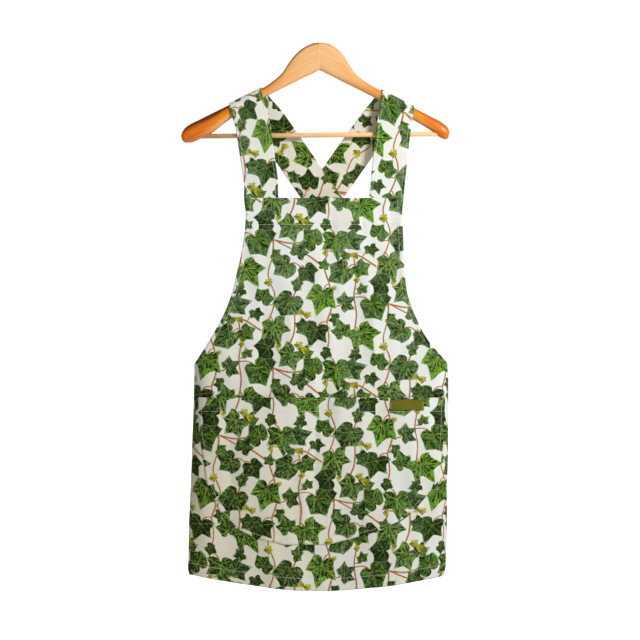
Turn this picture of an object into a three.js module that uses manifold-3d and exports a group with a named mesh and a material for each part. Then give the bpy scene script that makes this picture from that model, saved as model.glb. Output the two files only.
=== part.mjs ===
// Gardening apron of printed cotton, hung by its shoulder straps on a wooden clothes hanger.
// Units are millimetres. X runs to the right seen from the front, Y from front to back, Z up.
// The origin is the top of the hanger where its two arms meet.

import * as THREE from 'three';
import * as BufferGeometryUtils from 'three/addons/utils/BufferGeometryUtils.js';
import Module from 'manifold-3d';

const wasm = await Module();
wasm.setup();

// Hanger
const ARM_LEFT_REACH = 229;
const ARM_RIGHT_REACH = 216;
const HANGER_DROP = 166;
const HANGER_THICKNESS = 18;
const ARM_JOINT_GAP = 0.3;
const BAR_DIAMETER = 8;
const BAR_END_GAP = 0.3;
const BAR_LET_IN = 0.955;

// Apron body, one wrapped sheet of cotton
const BODY_CLOTH = 1.5;
const BIB_TOP_WIDTH = 257;
const BIB_TOP_DROP = 258.5;
const BIB_SHIFT = 8;
const SKIRT_WIDTH = 420;
const SKIRT_SHIFT = 3.3;
const ARMHOLE_DEPTH = 275;
const SIDE_LENGTH = 348;
const HEM_DIP = 26;
const SKIRT_DEPTH = 46;
const SIDE_FOLD_REACH = 30;
const FOLD_DEPTH = 6;
const BACK_GAP = 110;
const BACK_RISE = 142;
const BACK_INSET = 6;
const BACK_JOINT_MARGIN = 8;

// Shoulder straps, two layers of the same cotton
const STRAP_CLOTH = 2;
const STRAP_WIDTH = 57;
const STRAP_SPREAD = 126;
const STRAP_SHIFT = 4;
const STRAP_TUCK = 28;
const STRAP_BACK_TUCK = 16;
const STRAP_TOP_CLEARANCE = 1;
const STRAP_SIDE_CLEARANCE = 0.9;
const STRAP_EASE = 40;

// Pocket and label
const POCKET_CLOTH = 1.5;
const POCKET_WIDTH = 405;
const POCKET_DEPTH = 242;
const POCKET_TOP_DROP = 588;
const POCKET_SHIFT = 4;
const POCKET_SEAM_SHIFT = -11;
const POCKET_BULGE = 8;
const LABEL_WIDTH = 54;
const LABEL_HEIGHT = 16;
const LABEL_CLOTH = 0.8;
const LABEL_FROM_EDGE = 62;
const LABEL_FROM_TOP = 12.5;

// Gap kept between two cloths that are sewn or laid together, and the wider one behind the pocket,
// where both follow the front's folds
const SEAM_GAP = 0.3;
const POCKET_GAP = 1.2;

// Each row is one section of an arm: its place as a share of the arm's reach, its upper and lower
// edge as shares of the hanger's drop, its thickness as a share, and how square it is (2 is round).
const ARM_SECTIONS = [
  { out: 0.0, leftTop: 0.0, leftLow: 0.271, rightTop: 0.0, rightLow: 0.271, thick: 1, square: 4 },
  { out: 0.04, leftTop: 0.007, leftLow: 0.301, rightTop: 0.005, rightLow: 0.298, thick: 1, square: 4 },
  { out: 0.085, leftTop: 0.038, leftLow: 0.331, rightTop: 0.02, rightLow: 0.327, thick: 1, square: 4 },
  { out: 0.13, leftTop: 0.084, leftLow: 0.361, rightTop: 0.057, rightLow: 0.357, thick: 1, square: 3.6 },
  { out: 0.18, leftTop: 0.155, leftLow: 0.396, rightTop: 0.118, rightLow: 0.39, thick: 1, square: 3.2 },
  { out: 0.225, leftTop: 0.241, leftLow: 0.427, rightTop: 0.209, rightLow: 0.42, thick: 1, square: 2.8 },
  { out: 0.27, leftTop: 0.316, leftLow: 0.458, rightTop: 0.298, rightLow: 0.449, thick: 1, square: 2.4 },
  { out: 0.33, leftTop: 0.38, leftLow: 0.499, rightTop: 0.368, rightLow: 0.489, thick: 1, square: 2.1 },
  { out: 0.41, leftTop: 0.454, leftLow: 0.557, rightTop: 0.434, rightLow: 0.542, thick: 1, square: 2 },
  { out: 0.55, leftTop: 0.551, leftLow: 0.675, rightTop: 0.529, rightLow: 0.643, thick: 1, square: 2 },
  { out: 0.68, leftTop: 0.64, leftLow: 0.798, rightTop: 0.619, rightLow: 0.743, thick: 1, square: 2 },
  { out: 0.78, leftTop: 0.708, leftLow: 0.906, rightTop: 0.686, rightLow: 0.817, thick: 1, square: 2 },
  { out: 0.87, leftTop: 0.77, leftLow: 0.967, rightTop: 0.747, rightLow: 0.89, thick: 1, square: 2 },
  { out: 0.93, leftTop: 0.811, leftLow: 0.998, rightTop: 0.786, rightLow: 0.948, thick: 0.98, square: 2 },
  { out: 0.97, leftTop: 0.849, leftLow: 1.0, rightTop: 0.825, rightLow: 0.966, thick: 0.84, square: 2 },
  { out: 0.99, leftTop: 0.886, leftLow: 0.982, rightTop: 0.855, rightLow: 0.955, thick: 0.6, square: 2 },
  { out: 1.0, leftTop: 0.917, leftLow: 0.95, rightTop: 0.883, rightLow: 0.92, thick: 0.25, square: 2 },
];
const BAR_LEVEL = { left: 0.937, right: 0.912 };
const ARM_SIDES = 16;
const BAR_SIDES = 12;

// Armhole edge from the bib's corner down to the side fold: how far down as a share of the armhole's
// depth, and how far out on each side as a share of the way from the bib's edge to the side fold.
const ARMHOLE = [
  { down: 0.0, left: 0.0, right: 0.0 },
  { down: 0.16, left: 0.018, right: 0.02 },
  { down: 0.32, left: 0.09, right: 0.042 },
  { down: 0.46, left: 0.188, right: 0.066 },
  { down: 0.56, left: 0.264, right: 0.11 },
  { down: 0.64, left: 0.35, right: 0.19 },
  { down: 0.72, left: 0.46, right: 0.305 },
  { down: 0.8, left: 0.6, right: 0.44 },
  { down: 0.87, left: 0.73, right: 0.6 },
  { down: 0.94, left: 0.87, right: 0.81 },
  { down: 1.0, left: 1.0, right: 1.0 },
];

// Side folds below the armholes: how far down as a share of the side's length, and how far out past
// the armhole's corner on each side as a share of half the skirt's width.
const SIDE_LINE = [
  { down: 0.0, left: 0.0, right: 0.0 },
  { down: 0.08, left: 0.002, right: 0.004 },
  { down: 0.36, left: 0.017, right: 0.001 },
  { down: 0.56, left: 0.028, right: -0.004 },
  { down: 0.78, left: 0.045, right: -0.008 },
  { down: 0.91, left: 0.047, right: -0.015 },
  { down: 0.965, left: 0.05, right: -0.021 },
  { down: 1.0, left: 0.041, right: -0.036 },
];

// Main soft folds of the front: place across as a share of half the skirt's width, lean as a share of
// the fall, depth as a share of the fold depth (plus is towards the front), half width as a share of
// half the skirt's width, and the levels where each starts and ends as shares of the body's length.
const FRONT_FOLDS = [
  { across: -0.24, lean: 0.03, deep: 0.62, wide: 0.085, from: 0.1, to: 0.62 },
  { across: 0.5, lean: 0.02, deep: -0.4, wide: 0.06, from: 0.0, to: 0.3 },
  { across: 0.2, lean: 0.05, deep: -0.34, wide: 0.12, from: 0.08, to: 0.7 },
  { across: -0.66, lean: -0.05, deep: -0.55, wide: 0.12, from: 0.5, to: 1.3 },
  { across: -0.3, lean: -0.02, deep: 0.65, wide: 0.17, from: 0.62, to: 1.3 },
  { across: 0.12, lean: 0.01, deep: -0.5, wide: 0.14, from: 0.66, to: 1.3 },
  { across: 0.52, lean: 0.03, deep: 0.8, wide: 0.16, from: 0.6, to: 1.3 },
  { across: 0.82, lean: 0.0, deep: -0.4, wide: 0.09, from: 0.5, to: 1.3 },
];

// Soft folds of the back panels, with the same columns, plus being towards the back.
const BACK_FOLDS = [
  { across: -0.72, lean: 0.02, deep: 0.7, wide: 0.14, from: 0.3, to: 1.3 },
  { across: -0.42, lean: 0.0, deep: -0.6, wide: 0.1, from: 0.45, to: 1.3 },
  { across: 0.44, lean: 0.0, deep: 0.75, wide: 0.12, from: 0.4, to: 1.3 },
  { across: 0.74, lean: -0.02, deep: -0.55, wide: 0.12, from: 0.35, to: 1.3 },
];

// Pocket outline: how far down as a share of its depth, and how far out on each side as a share of
// half its width.
const POCKET_EDGE = [
  { down: 0.0, left: 1.0, right: 1.0 },
  { down: 0.2, left: 0.997, right: 0.995 },
  { down: 0.42, left: 0.96, right: 0.971 },
  { down: 0.56, left: 0.938, right: 0.945 },
  { down: 0.65, left: 0.897, right: 0.87 },
  { down: 0.72, left: 0.862, right: 0.8 },
  { down: 0.78, left: 0.825, right: 0.74 },
  { down: 0.84, left: 0.77, right: 0.64 },
  { down: 0.9, left: 0.67, right: 0.48 },
  { down: 0.95, left: 0.54, right: 0.29 },
  { down: 1.0, left: 0.3, right: 0.06 },
];

const FLAT_COLUMNS = 22;
const FOLD_COLUMNS = 4;
const BACK_COLUMNS = 6;
const BIB_ROWS = [0.08, 0.16, 0.24, 0.32, 0.4, 0.48, 0.56, 0.64, 0.72, 0.8, 0.87, 0.92, 0.96];
const SKIRT_ROWS = [0.08, 0.17, 0.27, 0.37, 0.47, 0.57, 0.67, 0.77, 0.86, 0.93, 0.965, 1.0];
const BACK_TOP_ROWS = 7;
const POCKET_COLUMNS = 22;
const POCKET_ROWS = [0, 0.1, 0.2, 0.31, 0.42, 0.5, 0.57, 0.65, 0.72, 0.78, 0.84, 0.88, 0.92,
  0.95, 0.975, 1.0];

// Straight reading between the rows of a table.
function readTable(table, key, at, column) {
  const last = table[table.length - 1];
  if (at <= table[0][key]) {
    return table[0][column];
  }
  for (let row = 1; row < table.length; row += 1) {
    const low = table[row - 1];
    const high = table[row];
    if (at <= high[key]) {
      const share = (at - low[key]) / (high[key] - low[key]);
      return low[column] + share * (high[column] - low[column]);
    }
  }
  return last[column];
}

function smooth(value) {
  const clamped = THREE.MathUtils.clamp(value, 0, 1);
  return clamped * clamped * (3 - 2 * clamped);
}

// A sheet is a net of four-sided cells. It is given its thickness half to each side of the net, and
// its free edges are closed by a rim.
class Sheet {
  constructor() {
    this.points = [];
    this.cells = [];
    this.places = new Map();
  }

  add(point) {
    const key = point.toArray().map((value) => Math.round(value * 1e4)).join(',');
    if (!this.places.has(key)) {
      this.places.set(key, this.points.length);
      this.points.push(point);
    }
    return this.places.get(key);
  }

  // Rows of points make cells that face so that across, then down, turns by the left-hand rule.
  addRows(rows) {
    const net = rows.map((row) => row.map((point) => this.add(point)));
    for (let row = 1; row < net.length; row += 1) {
      for (let column = 1; column < net[row].length; column += 1) {
        this.cells.push([
          net[row - 1][column - 1],
          net[row][column - 1],
          net[row][column],
          net[row - 1][column],
        ]);
      }
    }
  }

  solid(thickness) {
    const triangles = [];
    for (const [a, b, c, d] of this.cells) {
      for (const corners of [[a, b, c], [a, c, d]]) {
        if (new Set(corners).size === 3) {
          triangles.push(corners);
        }
      }
    }
    const normals = this.points.map(() => new THREE.Vector3());
    for (const corners of triangles) {
      const [a, b, c] = corners.map((corner) => this.points[corner]);
      const facing = new THREE.Vector3().subVectors(b, a).cross(new THREE.Vector3().subVectors(c, a));
      corners.forEach((corner) => normals[corner].add(facing));
    }
    const count = this.points.length;
    const positions = [];
    for (const side of [0.5, -0.5]) {
      this.points.forEach((point, place) => {
        const step = normals[place].clone().normalize().multiplyScalar(side * thickness);
        positions.push(...point.clone().add(step).toArray());
      });
    }
    const faces = [];
    const edges = new Map();
    for (const [a, b, c] of triangles) {
      faces.push(a, b, c);
      faces.push(count + a, count + c, count + b);
      for (const [from, to] of [[a, b], [b, c], [c, a]]) {
        edges.set(`${from}_${to}`, [from, to]);
      }
    }
    for (const [from, to] of edges.values()) {
      if (!edges.has(`${to}_${from}`)) {
        faces.push(from, count + from, count + to);
        faces.push(from, count + to, to);
      }
    }
    return geometryOf(positions, faces);
  }
}

function geometryOf(positions, faces) {
  const geometry = new THREE.BufferGeometry();
  geometry.setAttribute('position', new THREE.Float32BufferAttribute(positions, 3));
  geometry.setIndex(faces);
  return geometry;
}

// Solids for joins and cuts
function solidOf(geometry) {
  const bare = geometry.clone();
  bare.deleteAttribute('normal');
  bare.deleteAttribute('uv');
  const merged = BufferGeometryUtils.mergeVertices(bare, 1e-4);
  return new wasm.Manifold(new wasm.Mesh({
    numProp: 3,
    vertProperties: new Float32Array(merged.attributes.position.array),
    triVerts: new Uint32Array(merged.index.array),
  }));
}

function geometryOfSolid(solid) {
  const mesh = solid.getMesh();
  return geometryOf(Array.from(mesh.vertProperties), Array.from(mesh.triVerts));
}

// Hanger arms
function armReach(side) {
  return side < 0 ? ARM_LEFT_REACH : ARM_RIGHT_REACH;
}

function armEdge(side, x, edge) {
  const column = (side < 0 ? 'left' : 'right') + edge;
  return -HANGER_DROP * readTable(ARM_SECTIONS, 'out', Math.abs(x) / armReach(side), column);
}

function armGeometry(side) {
  const rings = ARM_SECTIONS.map((section) => {
    const x = side * Math.max(section.out * armReach(side), ARM_JOINT_GAP / 2);
    const top = armEdge(side, section.out * armReach(side), 'Top');
    const low = armEdge(side, section.out * armReach(side), 'Low');
    const half = 0.5 * HANGER_THICKNESS * section.thick;
    const ring = [];
    for (let step = 0; step < ARM_SIDES; step += 1) {
      const turn = (2 * Math.PI * (step + 0.5)) / ARM_SIDES;
      const bend = (value) => Math.sign(value) * Math.abs(value) ** (2 / section.square);
      const y = half * bend(Math.cos(turn));
      const z = 0.5 * (top + low) + 0.5 * (top - low) * bend(Math.sin(turn));
      ring.push([x, y, z]);
    }
    return ring;
  });
  const positions = rings.flat(2);
  const faces = [];
  const addFace = (a, b, c) => {
    if (side < 0) {
      faces.push(a, b, c);
    } else {
      faces.push(a, c, b);
    }
  };
  for (let ring = 1; ring < rings.length; ring += 1) {
    for (let step = 0; step < ARM_SIDES; step += 1) {
      const next = (step + 1) % ARM_SIDES;
      const inner = (ring - 1) * ARM_SIDES;
      const outer = ring * ARM_SIDES;
      addFace(inner + step, outer + step, outer + next);
      addFace(inner + step, outer + next, inner + next);
    }
  }
  const lastRing = (rings.length - 1) * ARM_SIDES;
  for (let step = 1; step < ARM_SIDES - 1; step += 1) {
    addFace(0, step, step + 1);
    addFace(lastRing, lastRing + step + 1, lastRing + step);
  }
  return geometryOf(positions, faces);
}

// The trouser bar runs between blind holes in the two arms.
const barLeft = new THREE.Vector3(-BAR_LET_IN * ARM_LEFT_REACH, 0, -BAR_LEVEL.left * HANGER_DROP);
const barRight = new THREE.Vector3(BAR_LET_IN * ARM_RIGHT_REACH, 0, -BAR_LEVEL.right * HANGER_DROP);

function barGeometry(radius, extra) {
  const along = new THREE.Vector3().subVectors(barRight, barLeft);
  const middle = new THREE.Vector3().addVectors(barLeft, barRight).multiplyScalar(0.5);
  const geometry = new THREE.CylinderGeometry(radius, radius, along.length() + 2 * extra, BAR_SIDES);
  const turn = new THREE.Quaternion().setFromUnitVectors(new THREE.Vector3(0, 1, 0), along.normalize());
  geometry.applyQuaternion(turn);
  geometry.translate(middle.x, middle.y, middle.z);
  return geometry;
}

function boredArm(side) {
  const hole = solidOf(barGeometry(BAR_DIAMETER / 2 + BAR_END_GAP, BAR_END_GAP));
  return geometryOfSolid(solidOf(armGeometry(side)).subtract(hole));
}

// Levels of the apron
const strapFace = HANGER_THICKNESS / 2 + STRAP_SIDE_CLEARANCE + STRAP_CLOTH / 2;
const strapToBody = STRAP_CLOTH / 2 + SEAM_GAP + BODY_CLOTH / 2;
const bibTop = -BIB_TOP_DROP;
const armCorner = bibTop - ARMHOLE_DEPTH;
const sideEnd = armCorner - SIDE_LENGTH;
const bodyLength = bibTop - sideEnd;
const halfSkirt = SKIRT_WIDTH / 2;

// X of the body's outer edge at a level: the armhole's edge above the corner, the side fold below it.
function bodyEdge(side, z) {
  const column = side < 0 ? 'left' : 'right';
  const bibEdge = BIB_SHIFT + side * BIB_TOP_WIDTH / 2;
  const cornerEdge = SKIRT_SHIFT + side * halfSkirt;
  if (z >= armCorner) {
    const out = readTable(ARMHOLE, 'down', (bibTop - z) / ARMHOLE_DEPTH, column);
    return bibEdge + out * (cornerEdge - bibEdge);
  }
  return cornerEdge + side * halfSkirt * readTable(SIDE_LINE, 'down', (armCorner - z) / SIDE_LENGTH, column);
}

// X of the outermost line of the side fold, carried straight up past the armhole's corner.
function foldLine(side, z) {
  return z >= armCorner ? SKIRT_SHIFT + side * halfSkirt : bodyEdge(side, z);
}

// Fullness of the side fold at a point: 0 on the fold's outermost line, 1 where the panel is flat.
function foldRound(x, z) {
  const side = x < SKIRT_SHIFT ? -1 : 1;
  const inset = Math.abs(foldLine(side, z) - x);
  const share = THREE.MathUtils.clamp(1 - inset / SIDE_FOLD_REACH, 0, 1);
  return Math.sqrt(1 - share * share);
}

function foldSum(table, x, z) {
  const fall = (bibTop - z) / bodyLength;
  let sum = 0;
  for (const fold of table) {
    const middle = SKIRT_SHIFT + halfSkirt * (fold.across + fold.lean * fall);
    const away = (x - middle) / (halfSkirt * fold.wide);
    const start = smooth((fall - fold.from) / 0.25);
    const stop = 1 - smooth((fall - fold.to + 0.25) / 0.25);
    sum += fold.deep * FOLD_DEPTH * Math.exp(-away * away) * start * stop;
  }
  return sum;
}

function halfDepth(z) {
  const top = strapFace + strapToBody;
  return top + (SKIRT_DEPTH / 2 - top) * smooth((bibTop - z) / (ARMHOLE_DEPTH + 0.3 * SIDE_LENGTH));
}

function frontPoint(x, z) {
  const round = foldRound(x, z);
  const y = -round * (halfDepth(z) + round * round * foldSum(FRONT_FOLDS, x, z));
  return new THREE.Vector3(x, y, z);
}

function backPoint(x, z) {
  const round = foldRound(x, z);
  const y = round * (halfDepth(z) + round * round * foldSum(BACK_FOLDS, x, z));
  return new THREE.Vector3(x, y, z);
}

// Outward direction of the front, by small steps either way.
function frontNormal(x, z) {
  const step = 0.5;
  const across = frontPoint(x + step, z).sub(frontPoint(x - step, z));
  const down = frontPoint(x, z - step).sub(frontPoint(x, z + step));
  return down.cross(across).normalize();
}

// Shares across a row from its middle to its edge: close together where the side folds round.
function edgeShares() {
  const flat = 1 - SIDE_FOLD_REACH / halfSkirt;
  const shares = [];
  for (let step = FOLD_COLUMNS; step > 0; step -= 1) {
    shares.push(1 - (SIDE_FOLD_REACH / halfSkirt) * (1 - Math.cos((step / FOLD_COLUMNS) * Math.PI / 2)));
  }
  shares.push(1);
  return { flat, shares };
}

function frontRow(level, hemShare) {
  const { flat, shares } = edgeShares();
  const across = shares.map((share) => -share).reverse();
  for (let step = 1; step < FLAT_COLUMNS; step += 1) {
    across.push(-flat + (2 * flat * step) / FLAT_COLUMNS);
  }
  across.push(...shares);
  const middle = (bodyEdge(-1, level) + bodyEdge(1, level)) / 2;
  return across.map((share) => {
    const edge = bodyEdge(share < 0 ? -1 : 1, level);
    const x = middle + Math.abs(share) * (edge - middle);
    const dip = HEM_DIP * hemShare * (1 - Math.abs(share) ** 1.6);
    return placedPoint(frontPoint, x, level, dip);
  });
}

// A point of a panel, let down by a dip without changing its place in the folds.
function placedPoint(surface, x, level, dip) {
  const point = surface(x, level);
  point.z -= dip;
  return point;
}

// Straps. Each is laid out flat, P along it from the top of the arm and Q outwards along the arm, and
// is then bent over the arm: in front where P is negative, behind where P is positive.
function strapLayout(side) {
  const xTop = STRAP_SHIFT + side * STRAP_SPREAD;
  const xIn = xTop - side * STRAP_WIDTH / 2;
  const xOut = xTop + side * STRAP_WIDTH / 2;
  const slope = Math.atan2(armEdge(side, xIn, 'Top') - armEdge(side, xOut, 'Top'), STRAP_WIDTH);
  const along = new THREE.Vector3(side * Math.cos(slope), 0, -Math.sin(slope));
  const up = new THREE.Vector3(side * Math.sin(slope), 0, Math.cos(slope));
  const lift = (STRAP_TOP_CLEARANCE + STRAP_CLOTH / 2) / Math.cos(slope);
  const top = new THREE.Vector3(xTop, 0, armEdge(side, xTop, 'Top') + lift);
  const axis = top.clone().addScaledVector(up, -strapFace);
  const arc = Math.PI * strapFace / 2;

  const flatOf = (x, z, face) => {
    const from = new THREE.Vector3(x, 0, z).sub(axis);
    return { p: face * (arc - from.dot(up)), q: from.dot(along) };
  };
  const bent = (p, q) => {
    const point = axis.clone().addScaledVector(along, q);
    if (Math.abs(p) <= arc) {
      const turn = p / strapFace;
      point.addScaledVector(up, strapFace * Math.cos(turn));
      point.y = strapFace * Math.sin(turn);
    } else {
      point.addScaledVector(up, arc - Math.abs(p));
      point.y = Math.sign(p) * strapFace;
    }
    return point;
  };
  return { side, arc, flatOf, bent };
}

// Where a strap joins the back panel of the other side: the panel's top runs square across the strap
// from its outer corner, on the armhole's edge, to its inner one.
function backJoint(side) {
  const z = armCorner + BACK_RISE;
  const outer = new THREE.Vector3(bodyEdge(side, z) - side * BACK_INSET, 0, z);
  const from = STRAP_SHIFT - side * STRAP_SPREAD;
  const run = new THREE.Vector3(outer.x - from, 0, outer.z - armEdge(-side, from, 'Top'));
  const lean = Math.atan2(Math.abs(run.x), -run.z) - Math.asin(STRAP_WIDTH / 2 / run.length());
  const down = new THREE.Vector3(side * Math.sin(lean), 0, -Math.cos(lean));
  const inward = new THREE.Vector3(-side * Math.cos(lean), 0, -Math.sin(lean));
  const middle = outer.clone().addScaledVector(inward, STRAP_WIDTH / 2 + BACK_JOINT_MARGIN);
  const inner = outer.clone().addScaledVector(inward, STRAP_WIDTH + BACK_JOINT_MARGIN);
  return { outer, inner, middle, end: middle.clone().addScaledVector(down, STRAP_BACK_TUCK) };
}

function strapPath(side) {
  const layout = strapLayout(side);
  const frontEdge = bodyEdge(side, bibTop);
  const front = layout.flatOf(frontEdge - side * STRAP_WIDTH / 2, bibTop - STRAP_TUCK, -1);
  const joint = backJoint(-side);
  const back = layout.flatOf(joint.end.x, joint.end.z, 1);
  const ease = (p) => Math.hypot(p, STRAP_EASE) - STRAP_EASE;
  const spread = front.p * ease(back.p) - back.p * ease(front.p);
  const lean = (front.q * ease(back.p) - back.q * ease(front.p)) / spread;
  const kink = (front.p * back.q - back.p * front.q) / spread;
  const across = (p) => lean * p + kink * ease(p);
  return { ...layout, front, back, across };
}

// The point where the middle lines of the two straps cross behind the bib.
function crossing(paths) {
  const ends = paths.map((path) => [path.arc, path.back.p].map((p) => path.bent(p, path.across(p))));
  const [[a, b], [c, d]] = ends;
  const ab = { x: b.x - a.x, z: b.z - a.z };
  const cd = { x: d.x - c.x, z: d.z - c.z };
  const share = ((c.x - a.x) * cd.z - (c.z - a.z) * cd.x) / (ab.x * cd.z - ab.z * cd.x);
  return new THREE.Vector3(a.x + share * ab.x, 0, a.z + share * ab.z);
}

function strapSheet(path, cross) {
  const stops = [];
  const addStops = (from, to, count) => {
    for (let step = 0; step < count; step += 1) {
      stops.push(from + ((to - from) * step) / count);
    }
  };
  addStops(path.front.p, -path.arc, 10);
  addStops(-path.arc, path.arc, 8);
  addStops(path.arc, path.back.p, 24);
  stops.push(path.back.p);
  const rows = stops.map((p) => {
    const step = 0.5;
    const slope = (path.across(p + step) - path.across(p - step)) / (2 * step);
    const size = Math.hypot(1, slope);
    const square = smooth((Math.abs(p) - path.arc) / STRAP_WIDTH);
    const row = [];
    for (let column = -1; column <= 1; column += 1) {
      const q = column * STRAP_WIDTH / 2;
      const wide = square / size + (1 - square) * size;
      const point = path.bent(p - (square * q * slope) / size, path.across(p) + q * wide);
      if (path.side > 0 && point.y > 0) {
        const away = Math.hypot(point.x - cross.x, point.z - cross.z);
        const lift = STRAP_CLOTH + 2 * SEAM_GAP;
        point.y += lift * (1 - smooth((away - STRAP_WIDTH) / STRAP_WIDTH));
      }
      row.push(point);
    }
    return path.side > 0 ? row.reverse() : row;
  });
  const sheet = new Sheet();
  sheet.addRows(rows);
  return sheet;
}

// Body: the front, then each back panel from the side fold to its free edge.
function backRows(side) {
  const { shares } = edgeShares();
  const joint = backJoint(side);
  const innerEnd = side * BACK_GAP / 2 + SKIRT_SHIFT;
  const levels = [];
  for (let step = 0; step < BACK_TOP_ROWS; step += 1) {
    const share = step / BACK_TOP_ROWS;
    levels.push({ outer: joint.outer.z + share * (armCorner - joint.outer.z), rise: 1 - share });
  }
  levels.push({ outer: armCorner, rise: 0 });
  SKIRT_ROWS.forEach((share) => {
    levels.push({ outer: armCorner - share * SIDE_LENGTH, rise: 0, hem: share });
  });
  return levels.map(({ outer, rise, hem = 0 }) => {
    const edge = outer >= armCorner
      ? bodyEdge(side, outer) - side * BACK_INSET * rise
      : bodyEdge(side, outer);
    const innerX = joint.inner.x + (innerEnd - joint.inner.x) * smooth(1.2 * (1 - rise));
    const innerZ = outer + (joint.inner.z - joint.outer.z) * rise;
    const row = [];
    const reach = SIDE_FOLD_REACH;
    [...shares].reverse().forEach((share) => {
      const inset = (1 - share) * halfSkirt;
      row.push({ x: edge - side * inset * Math.min(1, Math.abs(edge - innerX) / (2 * reach)) });
    });
    const start = row[row.length - 1].x;
    for (let step = 1; step <= BACK_COLUMNS; step += 1) {
      row.push({ x: start + ((innerX - start) * step) / BACK_COLUMNS });
    }
    const points = row.map(({ x }) => {
      const share = (edge - x) / (edge - innerX);
      const level = outer + (innerZ - outer) * share;
      const away = Math.abs(x - SKIRT_SHIFT) / Math.abs(edge - SKIRT_SHIFT);
      const dip = HEM_DIP * hem * (1 - away ** 1.6);
      return placedPoint(backPoint, x, level, dip);
    });
    return side > 0 ? points : points.reverse();
  });
}

function bodySheet() {
  const rows = [0, ...BIB_ROWS].map((share) => frontRow(bibTop - share * ARMHOLE_DEPTH, 0));
  rows.push(frontRow(armCorner, 0));
  SKIRT_ROWS.forEach((share) => rows.push(frontRow(armCorner - share * SIDE_LENGTH, share)));
  const sheet = new Sheet();
  sheet.addRows(rows);
  sheet.addRows(backRows(1));
  sheet.addRows(backRows(-1));
  return sheet;
}

// Pocket: sewn to the front round its sides and bottom and down a middle seam, and open at the top.
const pocketTop = -POCKET_TOP_DROP;

function pocketPlace(across, down) {
  const column = across < 0 ? 'left' : 'right';
  const half = POCKET_WIDTH / 2 * readTable(POCKET_EDGE, 'down', down, column);
  return { x: POCKET_SHIFT + across * half, z: pocketTop - down * POCKET_DEPTH };
}

function pocketBulge(x, z, across, down) {
  const seam = POCKET_SHIFT + POCKET_SEAM_SHIFT;
  const side = x < seam ? -1 : 1;
  const reach = Math.abs(pocketPlace(side, down).x - seam);
  const share = THREE.MathUtils.clamp(Math.abs(x - seam) / reach, 0, 1);
  return POCKET_BULGE * (1 - (2 * share - 1) ** 4) * (1 - down ** 2);
}

function dipAt(x, z) {
  const share = Math.abs(x - SKIRT_SHIFT) / halfSkirt;
  const hem = THREE.MathUtils.clamp((armCorner - z) / SIDE_LENGTH, 0, 1);
  return HEM_DIP * hem * (1 - Math.min(share, 1) ** 1.6);
}

// A point of the front that is really at this level once the hem's dip has let it down.
function frontAt(x, z) {
  let level = z;
  for (let step = 0; step < 4; step += 1) {
    level = z + dipAt(x, level);
  }
  return { point: placedPoint(frontPoint, x, level, level - z), normal: frontNormal(x, level) };
}

function pocketPoint(across, down, proud) {
  const { x, z } = pocketPlace(across, down);
  const { point, normal } = frontAt(x, z);
  const base = BODY_CLOTH / 2 + POCKET_GAP + POCKET_CLOTH / 2;
  return point.addScaledVector(normal, base + pocketBulge(x, z, across, down) + proud);
}

function pocketSheet() {
  const rows = POCKET_ROWS.map((down) => {
    const row = [];
    for (let column = 0; column <= POCKET_COLUMNS; column += 1) {
      row.push(pocketPoint(Math.sin((column / POCKET_COLUMNS - 0.5) * Math.PI), down, 0));
    }
    return row;
  });
  const sheet = new Sheet();
  sheet.addRows(rows);
  return sheet;
}

function labelSheet() {
  const middle = POCKET_WIDTH / 2 - LABEL_FROM_EDGE;
  const proud = POCKET_CLOTH / 2 + SEAM_GAP + LABEL_CLOTH / 2;
  const columns = 6;
  const rows = [-0.5, 0.5].map((drop) => {
    const down = (LABEL_FROM_TOP + drop * LABEL_HEIGHT) / POCKET_DEPTH;
    const row = [];
    for (let column = 0; column <= columns; column += 1) {
      const x = middle + LABEL_WIDTH * (column / columns - 0.5);
      row.push(pocketPoint(x / (POCKET_WIDTH / 2), down, proud));
    }
    return row;
  });
  const sheet = new Sheet();
  sheet.addRows(rows);
  return sheet;
}

// Materials
const beech = new THREE.MeshStandardMaterial({ color: 0xe3a566, roughness: 0.35, metalness: 0 });
const cotton = new THREE.MeshStandardMaterial({ color: 0x9fb08c, roughness: 0.9, metalness: 0 });
const olive = new THREE.MeshStandardMaterial({ color: 0x77701c, roughness: 0.8, metalness: 0 });

function piece(name, geometry, material) {
  const mesh = new THREE.Mesh(geometry, material);
  mesh.name = name;
  return mesh;
}

const apron = new THREE.Group();
apron.add(piece('hanger_arm_left', boredArm(-1), beech));
apron.add(piece('hanger_arm_right', boredArm(1), beech));
apron.add(piece('hanger_bar', barGeometry(BAR_DIAMETER / 2, 0), beech));
apron.add(piece('apron_body', bodySheet().solid(BODY_CLOTH), cotton));

const strapPaths = [strapPath(-1), strapPath(1)];
const cross = crossing(strapPaths);
apron.add(piece('strap_left', strapSheet(strapPaths[0], cross).solid(STRAP_CLOTH), cotton));
apron.add(piece('strap_right', strapSheet(strapPaths[1], cross).solid(STRAP_CLOTH), cotton));

apron.add(piece('pocket', pocketSheet().solid(POCKET_CLOTH), cotton));
apron.add(piece('label_tab', labelSheet().solid(LABEL_CLOTH), olive));

export default apron;
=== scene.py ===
# Gardening apron of printed cotton on a wooden clothes hanger.
# Sizes are millimetres until a mesh is made, then metres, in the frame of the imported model.
import math
import random

import bpy
import numpy as np
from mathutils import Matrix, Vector
from mathutils.geometry import delaunay_2d_cdt


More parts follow.
